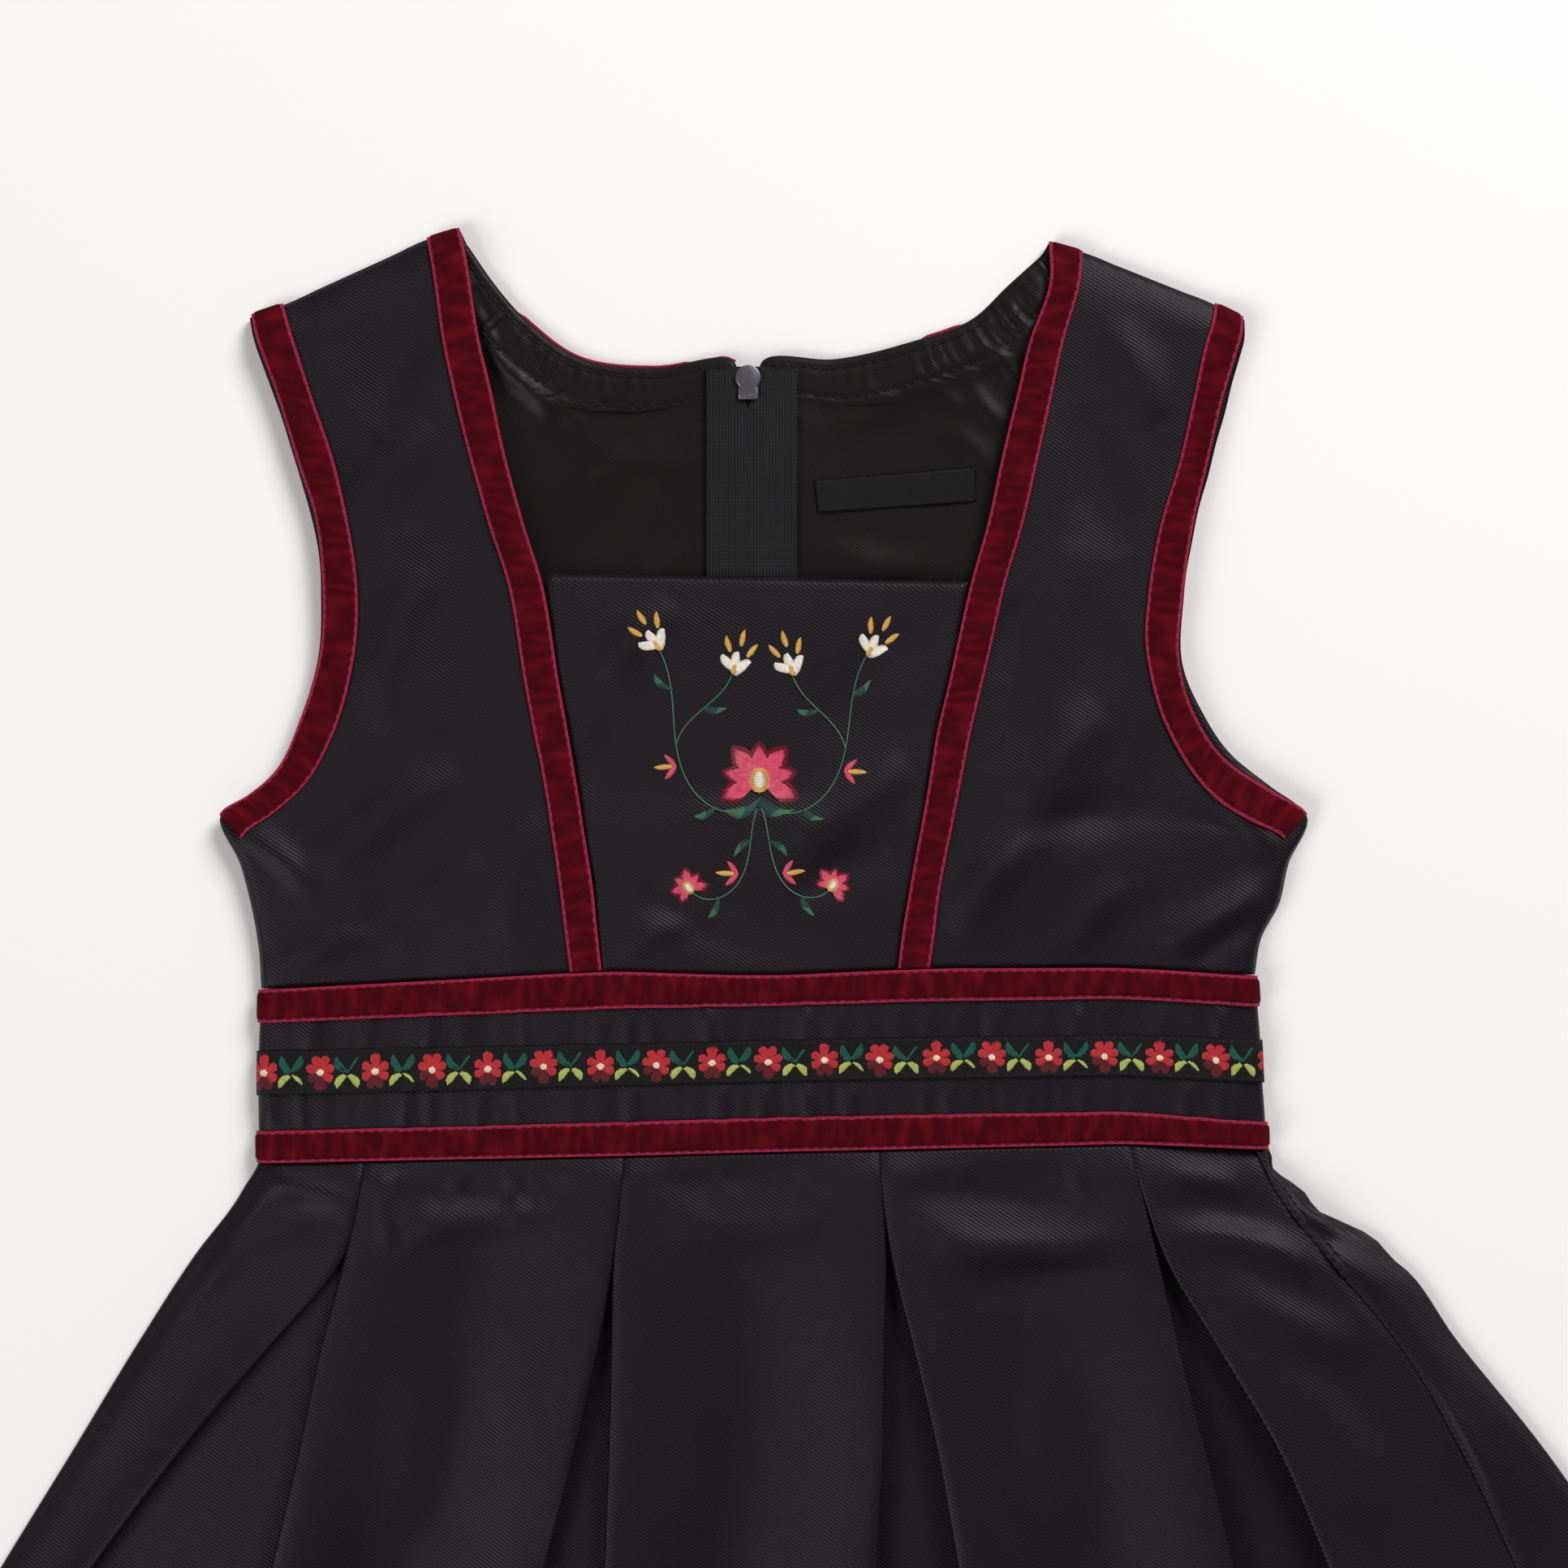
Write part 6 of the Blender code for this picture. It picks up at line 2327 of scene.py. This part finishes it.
class Tip(Enum):
    """What grows at the end of a stem."""

    WHITE = "white"
    PINK = "pink"


class Growth(NamedTuple):
    """A leaf or a bud on a stem: the share of its length, and the side, 1 for left of the way it grows."""

    share: float
    side: int
    bud: bool


@dataclass(frozen=True)
class Scroll:
    """A curling stem, drawn from how it sets off and how its curl changes."""

    start: Flat
    heading: float
    length: float
    curl: Flat
    tip: Tip
    growth: tuple[Growth, ...]
    parent: tuple[int, float] | None = None

    def walk(self, start: Flat, heading: float) -> list[Point]:
        """Places and headings along it, for a start and a heading.

        Args:
            start: Its start.
            heading: The way it sets off, in degrees.

        Returns:
            Each place and heading.
        """
        x, y = start
        places = [(x, y, heading)]
        step = self.length / STEPS
        for k in range(STEPS):
            heading += step * (self.curl[0] + (self.curl[1] - self.curl[0]) * (k + 0.5) / STEPS)
            x += step * math.cos(math.radians(heading))
            y += step * math.sin(math.radians(heading))
            places.append((x, y, heading))
        return places


STEPS = 40
SPRAY_X = -1.0
ROSE = (0.0, 105.5)
SCROLLS = (
    Scroll((0.6, 98.6), -44, 63, (5.9, -2.6), Tip.WHITE,
        (Growth(0.2, -1, False), Growth(0.46, -1, True), Growth(0.8, -1, False))),
    Scroll((0.0, 0.0), 20, 27, (5.6, -5.2), Tip.WHITE, (Growth(0.5, 1, False),), (0, 0.56)),
    Scroll((0.6, 97.6), -66, 39, (-3.0, 9.4), Tip.PINK,
        (Growth(0.26, 1, False), Growth(0.5, 1, True), Growth(0.74, -1, False))),
)


@dataclass
class Embroidery:
    """Flowers on curling stems, stitched in satin, long-and-short and stem stitch."""

    tree: BVHTree
    width: float = 0.42
    high: float = 0.24
    gathered: dict[str, Threads] = field(default_factory=dict)
    draw: np.random.Generator = field(default_factory=lambda: np.random.default_rng(SEED + 81))

    def stitch(self, shade: str, line: list[Flat], lift: float = 0.4, dome: float = 0.15) -> None:
        """Lay one thread over the cloth.

        Args:
            shade: Its colour.
            line: Its path.
            lift: How far its ends are over the cloth's middle.
            dome: How much higher its middle is.
        """
        last = len(line) - 1
        path = []
        for k, (x, y) in enumerate(line):
            path.append(over(self.tree, x, y, lift + dome * math.sin(math.pi * k / last)))
        self.gathered.setdefault(shade, Threads()).lay(path, self.width, self.high)

    def stem(self, knots: tuple[Flat, ...]) -> None:
        """Stem stitch along a curve through knots.

        Args:
            knots: Places it goes through.
        """
        points = np.array(knots)
        run = np.concatenate([[0.0], np.cumsum(np.linalg.norm(np.diff(points, axis=0), axis=1))])
        places = np.arange(0, run[-1], 0.35)
        fine = smooth(run, points, places)
        step = 3
        for i in range(0, len(fine) - 6, step):
            ahead = fine[i + 5] - fine[i]
            side = np.array([-ahead[1], ahead[0]]) / max(np.linalg.norm(ahead), 1e-6) * 0.11
            line = [tuple(fine[i] - side), tuple(fine[i + 2]), tuple(fine[min(i + 5, len(fine) - 1)] + side)]
            self.stitch("thread_green", line, 0.48, 0.1)

    def satin(
        self, shade: str, inner: str, shape: tuple[float, ...], slant: float, heart: float = 0.0, lift: float = 0.38
    ) -> None:
        """Leaf or petal of satin stitches across its length.

        Args:
            shade: Colour of its outer half.
            inner: Colour near its base.
            shape: Base, tip, width and bow.
            slant: How far each stitch leans forward.
            heart: Share of the length in the inner colour.
            lift: How far the stitches' ends are over the cloth.
        """
        x0, y0, x1, y1, width, bow = shape
        dx, dy = x1 - x0, y1 - y0
        length = math.hypot(dx, dy)
        ux, uy = dx / length, dy / length
        count = max(5, round(length / 0.34))
        for k in range(count + 1):
            t = k / count
            half = width / 2 * math.sin(math.pi * min(1.0, 0.1 + 0.88 * t**0.9)) ** 0.65
            half *= self.draw.uniform(0.94, 1.05)
            middle = bow * 4 * t * (1 - t)
            line = []
            for part in (-1, 0, 1):
                off, fore = middle + part * half, part * slant * half
                line.append((x0 + dx * t + ux * fore - uy * off, y0 + dy * t + uy * fore + ux * off))
            self.stitch(inner if t < heart + self.draw.uniform(-0.06, 0.06) else shade, line, lift, 0.28)

    def flower(self, x: float, y: float, axis: float, count: int, reaches: Flat, size: float) -> None:
        """Pink flower of long-and-short stitches with a dark edge and a cream heart.

        Args:
            x: Its middle.
            y: Its middle.
            axis: The way it faces, in degrees.
            count: How many petals it has.
            reaches: Length of its odd and its even petals.
            size: Size of its heart and edge.
        """
        spread = 232.0
        half = 0.6 * spread / count
        petals = [(axis + spread * (k / (count - 1) - 0.5), reaches[k % 2]) for k in range(count)]
        for angle, reach in petals:
            threads = max(7, round(math.radians(2 * half) * reach * 0.86 / 0.36))
            for k in range(threads + 1):
                u = 2 * k / threads - 1
                turn = math.radians(angle + u * half)
                tip = reach * (1 - 0.28 * abs(u) ** 1.1) + self.draw.uniform(-0.2, 0.2)
                edge = (1.5 * size + 0.35) * (0.8 + 0.5 * abs(u)) + self.draw.uniform(-0.3, 0.3)
                cos, sin = math.cos(turn), math.sin(turn)
                root = 1.6 * size
                cut = root + (tip - edge - root) * self.draw.uniform(0.4, 0.62)
                for shade, low, high, lift in (("thread_pink", root, cut + 0.4, 0.5),
                    ("thread_pink", cut, tip - edge + 0.3, 0.44), ("thread_dark_red", tip - edge, tip, 0.38)):
                    if high - low > 0.3:
                        line = [(x + r * cos, y + r * sin) for r in (low, (low + high) / 2, high)]
                        self.stitch(shade, line, lift, 0.12)
        lean = math.radians(axis)
        ux, uy = math.cos(lean), math.sin(lean)
        for shade, long, wide, lift in (("thread_yellow", 4.0, 2.9, 0.72), ("thread_cream", 2.6, 1.5, 0.95)):
            count = round(2 * long * size / 0.36)
            for k in range(count + 1):
                t = 2 * k / count - 1
                reach = wide * size * math.sqrt(max(0.0, 1 - t * t)) + 0.12
                cx, cy = x + ux * t * long * size * 0.9, y + uy * t * long * size * 0.9
                line = [(cx - uy * reach * s, cy + ux * reach * s) for s in (-1, 0, 1)]
                self.stitch(shade, line, lift, 0.12)

    def away(self, x: float, y: float, angle: float, low: float, high: float, width: float) -> tuple[float, ...]:
        """Petal that points away from a place, as base, tip, width and bow."""
        cos, sin = math.cos(math.radians(angle)), math.sin(math.radians(angle))
        return (x + cos * low, y + sin * low, x + cos * high, y + sin * high, width, 0.0)

    def grow(self, place: Point, side: int, bud: bool) -> None:
        """A leaf or a bud beside a stem.

        Args:
            place: Where on the stem, and the way the stem grows there.
            side: 1 for the stem's left, -1 for its right.
            bud: True for a bud.
        """
        x, y, way = place
        if not bud:
            x1, y1 = (x + 6.2 * math.cos(math.radians(way + 42 * side)),
                y + 6.2 * math.sin(math.radians(way + 42 * side)))
            self.satin("thread_green", "thread_deep_green", (x, y, x1, y1, 2.1, 0.8 * side), 0.7, 0.55)
            return
        angle = way + 72 * side
        x, y = x + 1.4 * math.cos(math.radians(angle)), y + 1.4 * math.sin(math.radians(angle))
        self.satin("thread_pink", "thread_pink", self.away(x, y, angle + 46, 0.2, 4.6, 1.7), 0.5)
        self.satin("thread_pink", "thread_pink", self.away(x, y, angle - 46, 0.2, 4.6, 1.7), -0.5)
        self.satin("thread_yellow", "thread_yellow", self.away(x, y, angle, 1.2, 6.2, 1.6), 0.6)

    def end(self, place: Point, tip: Tip) -> None:
        """The flower at the end of a stem.

        Args:
            place: The stem's end, and the way it grows there.
            tip: Which flower.
        """
        x, y, way = place
        if tip is Tip.PINK:
            self.flower(x, y, way, 6, (5.9, 5.2), 0.55)
            return
        for turn in (-48, 48, 0):
            self.satin("thread_cream", "thread_cream", self.away(x, y, way + turn, 0.2, 5.4, 3.2), 0.9)
        self.satin("thread_yellow", "thread_yellow", self.away(x, y, way, -0.7, 2.0, 2.1), 0.2, 0.0, 0.62)
        for turn, reach in ((-27, 8.0), (0, 9.9), (27, 8.0)):
            self.satin("thread_yellow", "thread_yellow", self.away(x, y, way + turn, reach - 2.3, reach + 2.1, 1.7),
                0.6)

    def dress(self, dresser: Dresser) -> None:
        """Stitch the whole motif.

        Args:
            dresser: Puts it on the dress.
        """
        for side in (1, -1):
            walks: list[list[Point]] = []
            for scroll in SCROLLS:
                start, heading = scroll.start, scroll.heading + self.draw.uniform(-3, 3)
                if scroll.parent:
                    x, y, way = walks[scroll.parent[0]][round(scroll.parent[1] * STEPS)]
                    start, heading = (x, y), way + scroll.heading
                walks.append(scroll.walk(start, heading))
            for scroll, walk in zip(SCROLLS, walks):
                turned = [(SPRAY_X + x, y, way) if side > 0 else (SPRAY_X - x, y, 180 - way) for x, y, way in walk]
                self.stem(tuple((x, y) for x, y, _ in turned))
                for growth in scroll.growth:
                    self.grow(turned[round(growth.share * STEPS)], side * growth.side, growth.bud)
                self.end(turned[-1], scroll.tip)
            base = (SPRAY_X, ROSE[1] - 5.6, SPRAY_X + side * 9.5, ROSE[1] - 8.6, 3.3, -side * 2.0)
            self.satin("thread_green", "thread_deep_green", base, 0.7, 0.55)
        self.flower(SPRAY_X + ROSE[0], ROSE[1], 90.0, 7, (12.6, 11.2), 1.0)
        for shade, threads in self.gathered.items():
            dresser.threads(f"embroidery_{shade}", threads, shade, "twill")


# studio


@dataclass
class Studio:
    """Pale table, soft light from above and one side, and a camera straight overhead."""

    aim: Flat = (-0.0069, 0.1833)
    height: float = 1.057
    lens: float = 85.0

    def floor(self) -> None:
        """A pale table under the dress."""
        mesh = bpy.data.meshes.new("table_top")
        reach = 30.0
        corners = [(-reach, -reach, -0.0001), (reach, -reach, -0.0001), (reach, reach, -0.0001),
            (-reach, reach, -0.0001)]
        mesh.from_pydata(corners, [], [(0, 1, 2, 3)])
        material = bpy.data.materials.new("pale_table")
        material.use_nodes = True
        shader = material.node_tree.nodes["Principled BSDF"]
        shader.inputs["Base Color"].default_value = (0.86, 0.835, 0.835, 1.0)
        shader.inputs["Roughness"].default_value = 0.9
        shader.inputs["Specular IOR Level"].default_value = 0.1
        mesh.materials.append(material)
        table = bpy.data.objects.new("table_top", mesh)
        bpy.context.scene.collection.objects.link(table)

    def light(self, name: str, place: Point, size: float, power: float) -> None:
        """A soft square light that looks at the middle of the dress.

        Args:
            name: Its name.
            place: Where it is, in metres.
            size: Its side.
            power: Its strength in watts.
        """
        lamp = bpy.data.lights.new(name, "AREA")
        lamp.shape = "SQUARE"
        lamp.size = size
        lamp.energy = power
        obj = bpy.data.objects.new(name, lamp)
        obj.location = place
        aim = Vector((0.0, 0.1, 0.0)) - Vector(place)
        obj.rotation_euler = aim.to_track_quat("-Z", "Y").to_euler()
        bpy.context.scene.collection.objects.link(obj)

    def camera(self) -> None:
        """The camera, straight down."""
        data = bpy.data.cameras.new("overhead_camera")
        data.lens = self.lens
        data.sensor_width = 36.0
        data.clip_end = 20.0
        obj = bpy.data.objects.new("overhead_camera", data)
        obj.location = (self.aim[0], self.aim[1], self.height)
        obj.rotation_euler = (0.0, 0.0, 0.0)
        bpy.context.scene.collection.objects.link(obj)
        bpy.context.scene.camera = obj

    def build(self) -> None:
        """Set the table, the lights, the world and the camera."""
        self.floor()
        self.light("key_softbox", (1.3, 2.0, 1.7), 1.2, 80.0)
        self.light("fill_softbox", (-1.9, -1.1, 1.8), 1.5, 44.0)
        world = bpy.data.worlds.new("pale_room")
        world.use_nodes = True
        back = world.node_tree.nodes["Background"]
        back.inputs[0].default_value = (1.0, 0.985, 0.985, 1.0)
        back.inputs[1].default_value = 0.2
        bpy.context.scene.world = world
        bpy.context.scene.view_settings.view_transform = "Standard"
        self.camera()


def main() -> None:
    """Build the dress and its studio, piece by piece."""
    logging.basicConfig(level=logging.INFO, format="%(name)s: %(message)s")
    wardrobe = Wardrobe()
    wardrobe.fill()
    dresser = Dresser(wardrobe)
    front = BodiceFront()
    front.dress(dresser)
    back = BodiceBack()
    back.dress(dresser)
    band = Waistband()
    band.dress(dresser)
    Skirt().dress(dresser)
    Zip().dress(dresser)
    NeckLabel().dress(dresser, back.linings[Hand.RIGHT])
    WovenFlowers().dress(dresser, band)
    Embroidery(front.centre.tree()).dress(dresser)
    Studio().build()
    bpy.context.view_layer.update()


if __name__ == "__main__":
    main()
